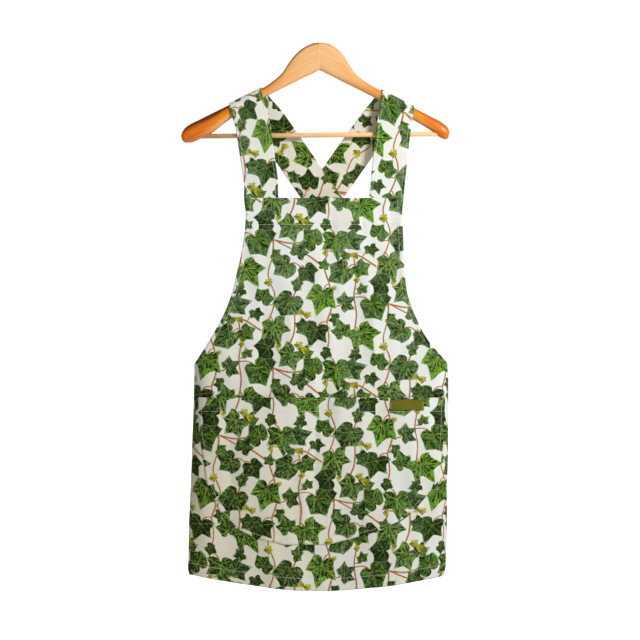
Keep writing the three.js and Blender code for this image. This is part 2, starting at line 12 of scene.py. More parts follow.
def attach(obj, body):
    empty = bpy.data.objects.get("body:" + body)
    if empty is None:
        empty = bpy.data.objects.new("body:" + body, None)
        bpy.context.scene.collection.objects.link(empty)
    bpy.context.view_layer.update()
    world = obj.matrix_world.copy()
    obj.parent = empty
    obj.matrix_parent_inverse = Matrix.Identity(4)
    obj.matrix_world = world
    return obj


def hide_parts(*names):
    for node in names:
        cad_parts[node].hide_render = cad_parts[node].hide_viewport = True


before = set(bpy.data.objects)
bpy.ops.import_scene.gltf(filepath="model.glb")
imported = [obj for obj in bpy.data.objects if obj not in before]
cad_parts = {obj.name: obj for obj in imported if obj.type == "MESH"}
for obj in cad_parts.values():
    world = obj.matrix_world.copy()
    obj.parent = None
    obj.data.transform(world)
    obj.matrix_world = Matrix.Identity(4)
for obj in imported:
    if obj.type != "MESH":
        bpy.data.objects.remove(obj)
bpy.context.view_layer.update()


# Camera: level and straight on, far enough back to keep the hanger and the hem undistorted.
# The picture is 640 pixels square and shows 1.66 mm to a pixel at the apron.
MM_PER_PIXEL = 1.66
PICTURE_PIXELS = 640
PICTURE_CENTRE_X = 1.3
PICTURE_CENTRE_Z = -460.3
CAMERA_DISTANCE = 3000
SENSOR_WIDTH = 36

camera_data = bpy.data.cameras.new("camera")
camera_data.sensor_width = SENSOR_WIDTH
camera_data.lens = SENSOR_WIDTH * CAMERA_DISTANCE / (MM_PER_PIXEL * PICTURE_PIXELS)
camera = bpy.data.objects.new("camera", camera_data)
camera.location = (PICTURE_CENTRE_X / 1000, -CAMERA_DISTANCE / 1000, PICTURE_CENTRE_Z / 1000)
camera.rotation_euler = (math.pi / 2, 0, 0)
bpy.context.collection.objects.link(camera)
bpy.context.scene.camera = camera


# Hanger arms: two halves of varnished beech, sawn to a bold curve, rounded over and glued
# together in the middle. Towards the ends the wood is painted darker and a deeper amber, which is painted
# shade.
ARM_REACH = {-1: 229, 1: 216}
HANGER_DROP = 166
HANGER_THICKNESS = 18
ARM_JOINT_GAP = 0.12
ARM_STATIONS = 96
ARM_SIDES = 48
ARM_SECTIONS = """
out   left_top left_low right_top right_low thick square
0     0        0.271    0         0.271     1     4
0.04  0.007    0.301    0.005     0.298     1     4
0.085 0.03     0.331    0.02      0.327     1     4
0.13  0.068    0.361    0.057     0.357     1     3.6
0.18  0.13     0.396    0.118     0.39      1     3.2
0.225 0.212    0.427    0.209     0.42      1     2.8
0.27  0.305    0.458    0.298     0.449     1     2.4
0.33  0.379    0.499    0.368     0.489     1     2.1
0.41  0.454    0.557    0.434     0.542     1     2
0.55  0.551    0.675    0.529     0.643     1     2
0.68  0.64     0.798    0.619     0.743     1     2
0.78  0.708    0.906    0.686     0.817     1     2
0.87  0.77     0.967    0.747     0.89      1     2
0.93  0.811    0.998    0.786     0.948     0.98  2
0.97  0.849    1        0.825     0.966     0.84  2
0.99  0.886    0.982    0.855     0.955     0.6   2
1     0.917    0.95     0.883     0.92      0.25  2
"""


class Table:
    """Rows of named columns, read between by a curve that never overshoots a row."""

    def __init__(self, text):
        names, *rows = [line.split() for line in text.strip().splitlines()]
        self.columns = {name: np.array([float(row[i]) for row in rows]) for i, name in enumerate(names)}
        self.key = self.columns[names[0]]

    def read(self, column, at):
        x = self.key
        y = self.columns[column]
        width = np.diff(x)
        rise = np.diff(y) / width
        same = rise[:-1] * rise[1:] > 0
        total = np.where(same, rise[:-1] + rise[1:], 1)
        inner = np.where(same, 2 * rise[:-1] * rise[1:] / total, 0)
        slope = np.concatenate([rise[:1], inner, rise[-1:]])
        at = np.clip(np.asarray(at, float), x[0], x[-1])
        i = np.clip(np.searchsorted(x, at, "right") - 1, 0, len(x) - 2)
        t = (at - x[i]) / width[i]
        start = y[i] * (1 + 2 * t) * (1 - t) ** 2 + slope[i] * width[i] * t * (1 - t) ** 2
        end = y[i + 1] * t * t * (3 - 2 * t) + slope[i + 1] * width[i] * t * t * (t - 1)
        return start + end


arm_sections = Table(ARM_SECTIONS)
SIDE_NAME = {-1: "left", 1: "right"}
# Painted shade along each arm's top edge: heavy on the left arm, which faces away from the lamp, light on
# the right.
EDGE_SHADE = {-1: 0.9, 1: 0.35}
GRAIN_LEAN = math.radians(27)
ARM_CROWDING = 1.5
ARM_TURNS = 2 * np.pi * (np.arange(ARM_SIDES) + 0.5) / ARM_SIDES


def arm_edge(side, x, edge):
    share = np.abs(x) / ARM_REACH[side]
    return -HANGER_DROP * arm_sections.read(f"{SIDE_NAME[side]}_{edge}", share)


def new_piece(name, points, faces, material, smooth=True):
    mesh = bpy.data.meshes.new(name)
    mesh.from_pydata([tuple(value / 1000 for value in point) for point in points], [], faces)
    mesh.materials.append(material)
    mesh.polygons.foreach_set("use_smooth", [smooth] * len(mesh.polygons))
    mesh.update()
    piece = bpy.data.objects.new(name, mesh)
    bpy.context.collection.objects.link(piece)
    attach(piece, "root")
    return piece


class Wire:
    """A socket in a material, so that shader maths reads as sums."""

    def __init__(self, tree, socket):
        self.tree = tree
        self.socket = socket

    def maths(self, operation, *others):
        return self.tree.maths(operation, self, *others)

    def split(self):
        """The three numbers of a vector."""
        return [self.tree.node("ShaderNodeSeparateXYZ", {}, {"Vector": self}, out=i) for i in range(3)]

    def __add__(self, other):
        return self.maths("ADD", other)

    def __radd__(self, other):
        return self.tree.maths("ADD", other, self)

    def __sub__(self, other):
        return self.maths("SUBTRACT", other)

    def __rsub__(self, other):
        return self.tree.maths("SUBTRACT", other, self)

    def __mul__(self, other):
        return self.maths("MULTIPLY", other)

    def __rmul__(self, other):
        return self.tree.maths("MULTIPLY", other, self)

    def __truediv__(self, other):
        return self.maths("DIVIDE", other)

    def __rtruediv__(self, other):
        return self.tree.maths("DIVIDE", other, self)

    def __abs__(self):
        return self.maths("ABSOLUTE")

    def step(self, low, high):
        """0 below low, 1 above high and an even ramp between; the two may be the other way round."""
        return self.tree.maths("ADD", (self - low) / (high - low), 0, clamp=True)


class Tree:
    """The nodes of a material or of the room."""

    def __init__(self, nodes):
        self.nodes = nodes

    def node(self, kind, settings=None, sockets=None, out=0):
        node = self.nodes.nodes.new(kind)
        for name, value in (settings or {}).items():
            setattr(node, name, value)
        for socket, value in (sockets or {}).items():
            self.join(value, node.inputs[socket])
        return Wire(self, node.outputs[out])

    def join(self, value, socket):
        if isinstance(value, Wire):
            self.nodes.links.new(value.socket, socket)
        else:
            socket.default_value = value

    def maths(self, operation, *values, clamp=False):
        settings = {"operation": operation, "use_clamp": clamp}
        return self.node("ShaderNodeMath", settings, dict(enumerate(values)))

    def noise(self, place, scale, detail=2, rough=0.5):
        sockets = {"Vector": place, "Scale": scale, "Detail": detail, "Roughness": rough}
        return self.node("ShaderNodeTexNoise", {}, sockets)

    def mix(self, share, first, second):
        """Colour mix: the Factor, A and B colour sockets are the node's inputs 0, 6 and 7."""
        settings = {"data_type": "RGBA", "clamp_factor": True}
        return self.node("ShaderNodeMix", settings, {0: share, 6: first, 7: second}, out=2)


class Finish(Tree):
    """A material with one Principled shader, and the nodes that feed it."""

    def __init__(self, name, slot, **fixed):
        self.material = bpy.data.materials.new(name)
        self.material.use_nodes = True
        super().__init__(self.material.node_tree)
        self.slot = slot
        self.shader = self.nodes.nodes["Principled BSDF"]
        for socket, value in fixed.items():
            self.shader.inputs[socket.replace("_", " ")].default_value = value

    def feed(self, socket, wire):
        self.nodes.links.new(wire.socket, self.shader.inputs[socket])

    def emboss(self, height, strength, distance):
        sockets = {"Height": height, "Strength": strength, "Distance": distance}
        self.feed("Normal", self.node("ShaderNodeBump", {}, sockets))


BEECH_PALE = (0.86, 0.51, 0.25, 1)
BEECH_WARM = (0.8, 0.33, 0.07, 1)
BEECH_AMBER = (0.8, 0.17, 0.002, 1)
BEECH_BROWN = (0.2, 0.022, 0.001, 1)
BEECH_GOLD = (0.82, 0.27, 0.003, 1)
BEECH_BLOND = (0.97, 0.7, 0.42, 1)
BEECH_FLECK = (0.5, 0.2, 0.05, 1)


# The third argument paints shade towards the arms' ends: darker and deeper amber, with glossier varnish
# there.
def beech(name, lean, end_shade, edge_shade=0.3):
    finish = Finish(name, "beech", Coat_Roughness=0.22, Specular_IOR_Level=0.1)
    place = finish.node("ShaderNodeTexCoord", out="Object")
    turned = finish.node("ShaderNodeMapping", {}, {"Vector": place, "Rotation": (0, lean, 0)})
    long = finish.node("ShaderNodeMapping", {}, {"Vector": turned, "Scale": (5, 60, 60)})
    grain = finish.noise(long, 3, 5, 0.6)
    fine = finish.node("ShaderNodeMapping", {}, {"Vector": turned, "Scale": (40, 500, 500)})
    flecks = finish.noise(fine, 1.6)
    cloud = finish.noise(place, 22, 3)
    across = abs(place.split()[0])
    # warm and amber: painted shade, rising towards the ends of the arms; none on the bar.
    warm = (across + cloud * 0.04).step(0.045, 0.115) * end_shade
    amber = (across + cloud * 0.05).step(0.1, 0.185) * end_shade
    # Painted light: the bar, with no end shade, is painted a paler blond all over, against the shadow cast
    # on it.
    pale_with_painted_light = finish.mix(0.45 * (1 - end_shade), BEECH_PALE, BEECH_BLOND)
    colour = finish.mix(grain.step(0.35, 0.7) * 0.55, pale_with_painted_light, BEECH_WARM)
    colour = finish.mix(warm, colour, BEECH_WARM)
    # The deep amber of the painted end shade, mottled with gold.
    end_shade_colour = finish.mix(cloud.step(0.42, 0.62), BEECH_AMBER, BEECH_GOLD)
    colour = finish.mix(amber * (0.75 + cloud * 0.4), colour, end_shade_colour)
    edge = finish.node("ShaderNodeAttribute", {"attribute_name": "upper_edge"}, out="Fac")
    streak = grain.step(0.5, 0.62) * amber * 0.35
    # Painted highlight: a pale strip low on the arm's face, inside the end shade, towards the straps.
    painted_highlight = edge.step(-0.2, -0.6) * edge.step(-0.99, -0.85) * warm * across.step(0.2, 0.17) * 0.5
    colour = finish.mix(painted_highlight, colour, BEECH_PALE)
    rounded = abs(edge).step(0.72, 0.98)
    colour = finish.mix(rounded * 0.5 * end_shade, colour, BEECH_WARM)
    # Painted shade: a dark line along the whole top edge and a brown band below it towards the ends, both as
    # strong as the side's edge shade, and a dark line along the bottom edge towards the ends.
    rim = edge.step(0.92 - 0.4 * edge_shade, 0.97) * edge_shade
    painted_edge_shade = edge.step(0.2, 0.8) * amber * (0.4 + cloud) * edge_shade + rim
    painted_edge_shade = painted_edge_shade + edge.step(-0.85, -0.98) * amber * 0.6
    colour = finish.mix(painted_edge_shade + streak, colour, BEECH_BROWN)
    colour = finish.mix(flecks.step(0.6, 0.75) * 0.35, colour, BEECH_FLECK)
    finish.feed("Base Color", colour)
    finish.feed("Roughness", 0.42 - warm * 0.12 + grain * 0.1)
    finish.feed("Coat Weight", 0.06 + warm * 0.3)
    finish.emboss(grain + flecks * 0.5, 0.15, 0.0004)
    return finish


def tube_faces(rings, sides, turned=False, first=0):
    """Faces of a closed tube ring by ring, then its two ends."""
    faces = []
    for low in range(first, first + (rings - 1) * sides, sides):
        for step in range(sides):
            after = (step + 1) % sides
            faces.append([low + step, low + after, low + sides + after, low + sides + step])
    end = list(range(first, first + sides))
    faces += [end[::-1], [corner + (rings - 1) * sides for corner in end]]
    return [face[::-1] for face in faces] if turned else faces


def arm_points(side):
    shares = 1 - (1 - np.linspace(0, 1, ARM_STATIONS)) ** ARM_CROWDING
    reach = shares * ARM_REACH[side]
    top, low = (arm_edge(side, reach, edge)[:, None] for edge in ("top", "low"))
    half = HANGER_THICKNESS / 2 * arm_sections.read("thick", shares)[:, None]
    square = 2 / arm_sections.read("square", shares)[:, None]
    out, up = (np.sign(wave) * np.abs(wave) ** square for wave in (np.cos(ARM_TURNS), np.sin(ARM_TURNS)))
    x = side * np.maximum(reach, ARM_JOINT_GAP / 2)[:, None] + 0 * out
    return np.stack([x, half * out, (top + low) / 2 + (top - low) / 2 * up], -1).reshape(-1, 3)


for side in (-1, 1):
    name = SIDE_NAME[side]
    wood = beech(f"beech_{name}", -side * GRAIN_LEAN, 1.0, EDGE_SHADE[side])
    faces = tube_faces(ARM_STATIONS, ARM_SIDES, turned=side < 0)
    arm = new_piece(f"beech_arm_{name}", arm_points(side), faces, wood.material)
    arm.data.polygons[len(faces) - 2].use_smooth = False
    for edge in arm.data.edges:
        edge.use_edge_sharp = max(edge.vertices) < ARM_SIDES
    upper = np.tile(np.sin(ARM_TURNS), ARM_STATIONS)
    arm.data.attributes.new("upper_edge", "FLOAT", "POINT").data.foreach_set("value", upper)
    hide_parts(f"hanger_arm_{name}")


# Trouser bar: a thin round dowel of plain beech, turned, without the arms' painted end shade,
# and painted a paler blond: painted light that makes up for the strap's shadow on it.
# Each of its ends is let into a blind hole in an arm.
BAR_DIAMETER = 8
BAR_LET_IN = 0.955
BAR_LEVEL = {-1: 0.937, 1: 0.912}
BAR_SIDES = 32

bar_ends = [(side * BAR_LET_IN * ARM_REACH[side], -BAR_LEVEL[side] * HANGER_DROP) for side in (-1, 1)]
points = []
for x, z in bar_ends:
    for step in range(BAR_SIDES):
        turn = 2 * math.pi * step / BAR_SIDES
        points.append((x, BAR_DIAMETER / 2 * math.cos(turn), z + BAR_DIAMETER / 2 * math.sin(turn)))
# No painted end shade on the bar; it gets the paler blond, painted light.
wood = beech("beech_bar", 0, 0.0)
bar = new_piece("beech_bar", points, tube_faces(2, BAR_SIDES), wood.material)
for end in list(bar.data.polygons)[-2:]:
    end.use_smooth = False
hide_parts("hanger_bar")


# Apron body: one sheet of plain woven cotton, printed on its outer face. It is the bib and skirt in
# front, turns softly round both sides and comes back as two panels that hang open at the back.
# Its bib has a deep top hem, its armholes and back edges narrow ones, and its foot a turned hem.
BODY_CLOTH = 0.8
BIB_TOP_WIDTH = 257
BIB_TOP_DROP = 258.5
BIB_SHIFT = 8
SKIRT_WIDTH = 420
SKIRT_SHIFT = 3.3
ARMHOLE_DEPTH = 275
SIDE_LENGTH = 348
HEM_DIP = 26
SKIRT_DEPTH = 46
SIDE_FOLD_REACH = 30
FOLD_DEPTH = 6
BACK_GAP = 110
BACK_RISE = 142
BACK_INSET = 6
BACK_JOINT_MARGIN = 8
STRAP_CLOTH = 2
STRAP_WIDTH = 57
STRAP_SPREAD = 126
STRAP_SHIFT = 4
STRAP_SIDE_CLEARANCE = 0.9
STRAP_BACK_TUCK = 16
SEAM_GAP = 0.3
CAD_CLOTH = 1.5
BIB_HEM = 44
BIB_TURNING = 11
TURNING_RAISE = 0.25
ARMHOLE_HEM = 6
BACK_HEM = 11
FOOT_HEM = 19
HEM_RAISE = 0.45
HEM_GROOVE = 0.42
HEM_PUCKER = 0.22
GROOVE_ROWS = (-1.6, 0, 1.6)
ARMHOLE_SLANT = 1.16
NET_STEP = 5.5
NET_MARGIN = 1.2
OUTLINE_STEPS = {"armhole": 90, "climb": 50, "joint": 16, "panel": 60, "back": 80, "foot": 190, "bib": 66}
WEAVE_PITCH = 0.8
WRONG_SIDE_PALE = 0.72
ARMHOLE = """
down left  right
0    0     0
0.16 0.018 0.02
0.32 0.09  0.042
0.46 0.188 0.066
0.56 0.264 0.11
0.64 0.35  0.19
0.72 0.46  0.305
0.8  0.6   0.44
0.87 0.73  0.6
0.94 0.87  0.81
1    1     1
"""
SIDE_LINE = """
down  left  right
0     0     0
0.08  0.002 0.004
0.36  0.017 0.001
0.56  0.028 -0.004
0.78  0.045 -0.008
0.91  0.047 -0.015
0.965 0.05  -0.021
1     0.041 -0.036
"""
FRONT_FOLDS = """
across lean  deep  wide  start end
-0.24  0.03  0.62  0.085 0.1   0.62
0.5    0.02  -0.4  0.06  0     0.3
0.2    0.05  -0.34 0.12  0.08  0.7
-0.66  -0.05 -0.55 0.12  0.5   1.3
-0.3   -0.02 0.65  0.17  0.62  1.3
0.12   0.01  -0.5  0.14  0.66  1.3
0.52   0.03  0.8   0.16  0.6   1.3
0.82   0     -0.4  0.09  0.5   1.3
"""
BACK_FOLDS = """
across lean  deep  wide start end
-0.72  0.02  0.7   0.14 0.3   1.3
-0.42  0     -0.6  0.1  0.45  1.3
0.44   0     0.75  0.12 0.4   1.3
0.74   -0.02 -0.55 0.12 0.35  1.3
"""

armhole = Table(ARMHOLE)
side_line = Table(SIDE_LINE)
front_folds = Table(FRONT_FOLDS).columns
back_folds = Table(BACK_FOLDS).columns
strap_face = HANGER_THICKNESS / 2 + STRAP_SIDE_CLEARANCE + STRAP_CLOTH / 2
bib_depth = strap_face + STRAP_CLOTH / 2 + SEAM_GAP + CAD_CLOTH / 2
bib_top = -BIB_TOP_DROP
arm_corner = bib_top - ARMHOLE_DEPTH
side_end = arm_corner - SIDE_LENGTH
body_length = bib_top - side_end
half_skirt = SKIRT_WIDTH / 2
fold_arc = math.pi / 2 * math.sqrt((SIDE_FOLD_REACH ** 2 + (SKIRT_DEPTH / 2) ** 2) / 2)


def smooth(value):
    value = np.clip(value, 0, 1)
    return value * value * (3 - 2 * value)


def body_edge(side, level):
    bib_edge = BIB_SHIFT + side * BIB_TOP_WIDTH / 2
    corner_edge = SKIRT_SHIFT + side * half_skirt
    out = armhole.read(SIDE_NAME[side], (bib_top - level) / ARMHOLE_DEPTH)
    flare = side_line.read(SIDE_NAME[side], (arm_corner - level) / SIDE_LENGTH)
    above = bib_edge + out * (corner_edge - bib_edge)
    return np.where(level >= arm_corner, above, corner_edge + side * half_skirt * flare)


def flat_half(side, level):
    """Half width of the flat front: from the middle line to where the side fold begins."""
    edge = body_edge(side, np.minimum(level, arm_corner))
    return np.abs(edge - SKIRT_SHIFT) - SIDE_FOLD_REACH


def fold_sum(folds, x, level):
    fall = (bib_top - level) / body_length
    total = 0 * x
    for across, lean, deep, wide, start, end in zip(*folds.values()):
        away = (x - SKIRT_SHIFT - half_skirt * (across + lean * fall)) / (half_skirt * wide)
        rise = smooth((fall - start) / 0.25) * (1 - smooth((fall - end + 0.25) / 0.25))
        total = total + deep * FOLD_DEPTH * np.exp(-away * away) * rise
    return total


def half_depth(level):
    share = (bib_top - level) / (ARMHOLE_DEPTH + 0.3 * SIDE_LENGTH)
    return bib_depth + (SKIRT_DEPTH / 2 - bib_depth) * smooth(share)


def hem_dip(x, level):
    share = np.minimum(np.abs(x - SKIRT_SHIFT) / half_skirt, 1)
    return HEM_DIP * np.clip((arm_corner - level) / SIDE_LENGTH, 0, 1) * (1 - share ** 1.6)


def body_surface(across, level):
    """The cloth's middle at a place of the flat cut: across from the middle line, and level."""
    across = np.asarray(across, float)
    level = np.asarray(level, float)
    side = np.where(across < 0, -1, 1)
    flat = np.where(side < 0, flat_half(-1, level), flat_half(1, level))
    over = np.abs(across) - flat
    turn = np.clip(over / fold_arc, 0, 2) * np.pi / 2
    out = flat + SIDE_FOLD_REACH * np.sin(turn) + np.minimum(over, 0) - np.maximum(over - 2 * fold_arc, 0)
    x = SKIRT_SHIFT + side * out
    full = np.abs(np.cos(turn))
    folds = np.where(over < fold_arc, fold_sum(front_folds, x, level), fold_sum(back_folds, x, level))
    y = np.where(over < fold_arc, -1, 1) * full * (half_depth(level) + full * full * folds)
    return np.stack([x, y, level - hem_dip(x, level)], -1)


def places(u, v):
    """Places on the flat cut, one row each. Either number may be the same for all."""
    return np.stack(np.broadcast_arrays(u, v), -1)


def facing(surface, u, v, step=0.4):
    """Unit normals of a surface, on the side that the print faces."""
    along = surface(u + step, v) - surface(u - step, v)
    up = surface(u, v + step) - surface(u, v - step)
    normal = np.cross(along, up)
    return normal / np.linalg.norm(normal, axis=-1, keepdims=True)


def front_place(side, x, level):
    """Where on the flat cut the front reaches this X; the back's place is the same distance on."""
    out = np.abs(x - SKIRT_SHIFT) - flat_half(side, level)
    bend = np.arcsin(np.clip(out / SIDE_FOLD_REACH, -1, 1)) * 2 / np.pi * fold_arc
    return flat_half(side, level) + np.where(out < 0, out, bend)


def back_place(side, x, level):
    return 2 * (flat_half(side, level) + fold_arc) - front_place(side, x, level)


def back_joint(side):
    """Corners of a back panel's top, where the strap from the other shoulder joins it."""
    z = arm_corner + BACK_RISE
    outer = np.array([float(body_edge(side, z)) - side * BACK_INSET, z])
    start = STRAP_SHIFT - side * STRAP_SPREAD
    run = outer - np.array([start, float(arm_edge(-side, start, "top"))])
    lean = math.atan2(abs(run[0]), -run[1]) - math.asin(STRAP_WIDTH / 2 / np.hypot(*run))
    down = np.array([side * math.sin(lean), -math.cos(lean)])
    inward = np.array([-side * math.cos(lean), -math.sin(lean)])
    middle = outer + inward * (STRAP_WIDTH / 2 + BACK_JOINT_MARGIN)
    inner = outer + inward * (STRAP_WIDTH + BACK_JOINT_MARGIN)
    return outer, inner, middle + down * STRAP_BACK_TUCK


def back_inner_edge(side):
    """The free edge of a back panel, from the strap's joint down to the foot."""
    outer, inner, _ = back_joint(side)
    rise = np.linspace(1, 0, OUTLINE_STEPS["panel"])
    level = outer[1] + (1 - rise) * (arm_corner - outer[1]) + (inner[1] - outer[1]) * rise
    end = side * BACK_GAP / 2 + SKIRT_SHIFT
    x = inner[0] + (end - inner[0]) * smooth(1.2 * (1 - rise))
    level = np.append(level, np.linspace(arm_corner, side_end, OUTLINE_STEPS["back"])[1:])
    x = np.append(x, np.full(len(level) - len(x), end))
    return side * back_place(side, x, level), level


def body_outline():
    """The cut of the body, round from the bib's left corner, in even short steps."""
    parts = []
    for side in (1, -1):
        levels = np.linspace(bib_top, arm_corner, OUTLINE_STEPS["armhole"])
        front = side * front_place(side, body_edge(side, levels), levels)
        outer, inner, _ = back_joint(side)
        rise = np.linspace(0, 1, OUTLINE_STEPS["climb"])
        climb = arm_corner + rise * (outer[1] - arm_corner)
        back_x = body_edge(side, climb) - side * BACK_INSET * rise
        back = side * back_place(side, back_x, climb)
        top = np.linspace(outer, inner, OUTLINE_STEPS["joint"])[1:-1]
        top_place = side * back_place(side, top[:, 0], top[:, 1])
        edge, edge_level = back_inner_edge(side)
        u = np.concatenate([front, back[1:], top_place, edge])
        v = np.concatenate([levels, climb[1:], top[:, 1], edge_level])
        parts.append(places(u, v)[::side])
    right, left = parts
    bib = np.linspace(left[-1], right[0], OUTLINE_STEPS["bib"])[1:-1]
    foot = np.linspace(right[-1], left[0], OUTLINE_STEPS["foot"])[1:-1]
    return np.concatenate([right, foot, left, bib])


# The print: trails of ivy in a small repeat. Each row of the chart is one leaf, by its middle in the
# repeat, its length from stalk to tip, the way its tip points, its tone from dark to bright and its
# number of lobes. Stalks run to the nearest vine.
REPEAT_WIDTH = 190
REPEAT_HEIGHT = 212
MOTIF_REACH = 60
LEAF_CHART = """
x    y    length turn tone lobes
20   192  32.8   250  0.15 5
64   200  24.1   110  0.5  3
102  186  36.7   305  0.9  5
158  196  29.9   215  0.35 1
40   161  15.4   330  0.3  3
86   158  16.4   200  0.2  5
183  168  16.4   20   0.4  5
14   138  28     130  0.55 1
86   136  26.1   15   0.05 3
56   128  35.7   275  0.8  5
128  150  23.2   60   0.45 3
166  134  34.7   240  0.3  1
36   96   14.5   80   0.6  5
114  118  17.4   290  0.15 5
187  100  18.3   160  0.25 3
10   80   26.1   300  0.1  3
62   82   31.8   215  0.4  1
98   86   24.1   320  0.6  5
126  64   28.9   170  0.05 3
146  92   34.7   285  0.98 5
30   38   35.7   255  0.85 3
74   34   23.2   30   0.2  5
98   56   14.5   100  0.5  5
118  24   32.8   300  0.45 1
166  48   31.8   225  0.7  5
52   4    16.4   190  0.3  5
148  4    16.4   340  0.55 3
186  14   23.2   60   0.1  5
6    164  18.3   75   0.65 3
70   108  13.5   240  0.35 5
134  40   18.3   80   0.12 3
"""
LEAF_EDGE = """
turn five three broad
0    1    1     1
6    0.86 0.86  0.89
18   0.67 0.7   0.75
29   0.58 0.65  0.72
42   0.63 0.65  0.74
51   0.75 0.75  0.83
58   0.88 0.88  0.78
65   0.73 0.77  0.72
76   0.6  0.66  0.66
91   0.54 0.58  0.61
106  0.6  0.57  0.59
116  0.68 0.59  0.59
125  0.6  0.56  0.56
143  0.48 0.48  0.49
160  0.36 0.36  0.37
173  0.16 0.16  0.16
"""
LEAF_FORMS = {5: "five", 3: "three", 1: "broad"}
LEAF_WOBBLE = 0.085
VINE_CHART = """
x    y    vine
40   0    0
50   28   0
45   62   0
34   92   0
43   118  0
36   150  0
45   182  0
40   212  0
86   -14  5
90   14   5
84   44   5
90   74   5
84   112  5
160  54   6
176  84   6
178  112  6
172  140  6
183  168  6
186  198  6
140  0    1
143  30   1
131  58   1
122  92   1
139  118  1
147  150  1
131  182  1
140  212  1
34   92   2
8    112  2
-12  118  2
-43  134  2
122  92   3
98   108  3
86   112  3
43   118  3
143  30   4
168  24   4
190  26   4
240  28   4
"""
BERRY_CHART = """
x    y    size
86   110  1
38   114  0.8
134  172  1.1
187  122  0.9
4    166  1
90   70   0.8
184  68   1.1
52   56   0.7
150  66   0.8
8    12   1
"""
BERRY_SIZE = 1.9
BERRY_TURN = 2.4
BERRY_COUNT = 12
BERRY_SPREAD = 0.88
BERRY_FULL = 1.05
STEM_WIDTH = 2.9
LEAF_BASE = 0.26
LEAF, STEM, BERRY = 1, 2, 3
GREYEST = 0.3
GREY_STEP = 0.618

leaf_chart = Table(LEAF_CHART).columns
vine_chart = Table(VINE_CHART).columns
berry_chart = Table(BERRY_CHART).columns
leaf_edge = Table(LEAF_EDGE)
LEAF_TURNS = np.concatenate([-leaf_edge.key[:0:-1], leaf_edge.key])


def leaf_reach(lobes, turn, row):
    """How far a leaf's edge is from its stalk at a turn from the tip. No two leaves are quite alike."""
    even = np.interp(np.abs(turn), leaf_edge.key, leaf_edge.columns[LEAF_FORMS[lobes]])
    angle = np.radians(turn)
    wave = np.sin(2 * angle + row * 1.7) + 0.6 * np.sin(5 * angle + row)
    return even * (1 + LEAF_WOBBLE * wave * np.cos(angle / 2))


def ribbon(middle, wide):
    """Outline of a stem along a run of points, thinner towards its end."""
    run = np.gradient(middle, axis=0)
    side = places(-run[:, 1], run[:, 0]) / np.hypot(*run.T)[:, None]
    half = wide / 2 * np.linspace(1, 0.75, len(middle))[:, None]
    return np.concatenate([middle + side * half, (middle - side * half)[::-1]])


def vine_runs():
    runs = []
    for number in np.unique(vine_chart["vine"]):
        rows = vine_chart["vine"] == number
        knots = places(vine_chart["x"][rows], vine_chart["y"][rows])
        share = np.linspace(0, len(knots) - 1, 4 * len(knots))
        soft = [np.interp(share, range(len(knots)), knots[:, i]) for i in (0, 1)]
        for _ in range(2):
            soft = [np.concatenate([s[:1], (s[:-2] + 2 * s[1:-1] + s[2:]) / 4, s[-1:]]) for s in soft]
        runs.append(places(*soft))
    return runs


vines = vine_runs()


def repeat_at(column, row):
    """Where a repeat begins. Every other column drops by half a repeat."""
    return np.array([column * REPEAT_WIDTH, (row + column % 2 / 2) * REPEAT_HEIGHT])


near_repeats = [repeat_at(column, row) for column in (-1, 0, 1) for row in (-1, 0, 1)]
vine_points = np.concatenate([run + step for run in vines for step in near_repeats])


def tile_shapes():
    """Every shape of one repeat: kind, tone, outline and leaf frame, with the order it lies in."""
    shapes = []
    for run in vines:
        shapes.append({"kind": STEM, "tone": 0.5, "outline": ribbon(run, STEM_WIDTH), "order": 0})
    for row, (x, y, length, turn, tone, lobes) in enumerate(zip(*leaf_chart.values())):
        way = math.radians(turn)
        tip = np.array([math.cos(way), math.sin(way)])
        across = np.array([tip[1], -tip[0]])
        base = np.array([x, y]) - LEAF_BASE * length * tip
        angle = np.radians(LEAF_TURNS)
        reach = length * leaf_reach(lobes, LEAF_TURNS, row)
        outline = base + (reach * np.cos(angle))[:, None] * tip + (reach * np.sin(angle))[:, None] * across
        back = base - 0.4 * length * tip
        end = vine_points[np.argmin(np.hypot(*(vine_points - back).T))]
        share = np.linspace(0, 1, 6)[:, None]
        pull = base - 0.5 * length * tip
        stalk = base * (1 - share) ** 2 + 2 * pull * share * (1 - share) + end * share ** 2
        shapes.append({"kind": STEM, "tone": 0.2, "outline": ribbon(stalk, STEM_WIDTH * 0.8), "order": 0.5})
        grey = GREYEST * smooth((row * GREY_STEP % 1 - 0.45) / 0.35)
        leaf = {"kind": LEAF + grey, "tone": tone, "outline": outline, "order": 1 + row % 5}
        leaf.update(base=base, tip=tip, across=across, length=length, lobes=lobes, row=row)
        shapes.append(leaf)
    for x, y, size in zip(*berry_chart.values()):
        for step in range(BERRY_COUNT):
            turn = step * BERRY_TURN + x
            away = size * BERRY_SIZE * BERRY_SPREAD * math.sqrt(step)
            middle = (x + away * math.cos(turn), y + away * math.sin(turn))
            ring = np.arange(6) * math.pi / 3 + turn
            outline = middle + size * BERRY_SIZE * BERRY_FULL * places(np.cos(ring), np.sin(ring))
            shapes.append({"kind": BERRY, "tone": (step * 0.37) % 1, "outline": outline, "order": 9})
    return sorted(shapes, key=lambda shape: shape["order"])


repeat_shapes = tile_shapes()


def motifs(low, high):
    """Every shape of the print over a region, lowest first."""
    first = np.floor((low - MOTIF_REACH) / (REPEAT_WIDTH, REPEAT_HEIGHT)).astype(int)
    last = np.ceil((high + MOTIF_REACH) / (REPEAT_WIDTH, REPEAT_HEIGHT)).astype(int)
    steps = [repeat_at(column, row)
             for column in range(first[0], last[0] + 1) for row in range(first[1] - 1, last[1] + 1)]
    keep = []
    for shape in repeat_shapes:
        for step in steps:
            outline = shape["outline"] + step
            if np.all(outline.max(0) > low) and np.all(outline.min(0) < high):
                keep.append(dict(shape, outline=outline, base=shape.get("base", 0) + step))
    return keep


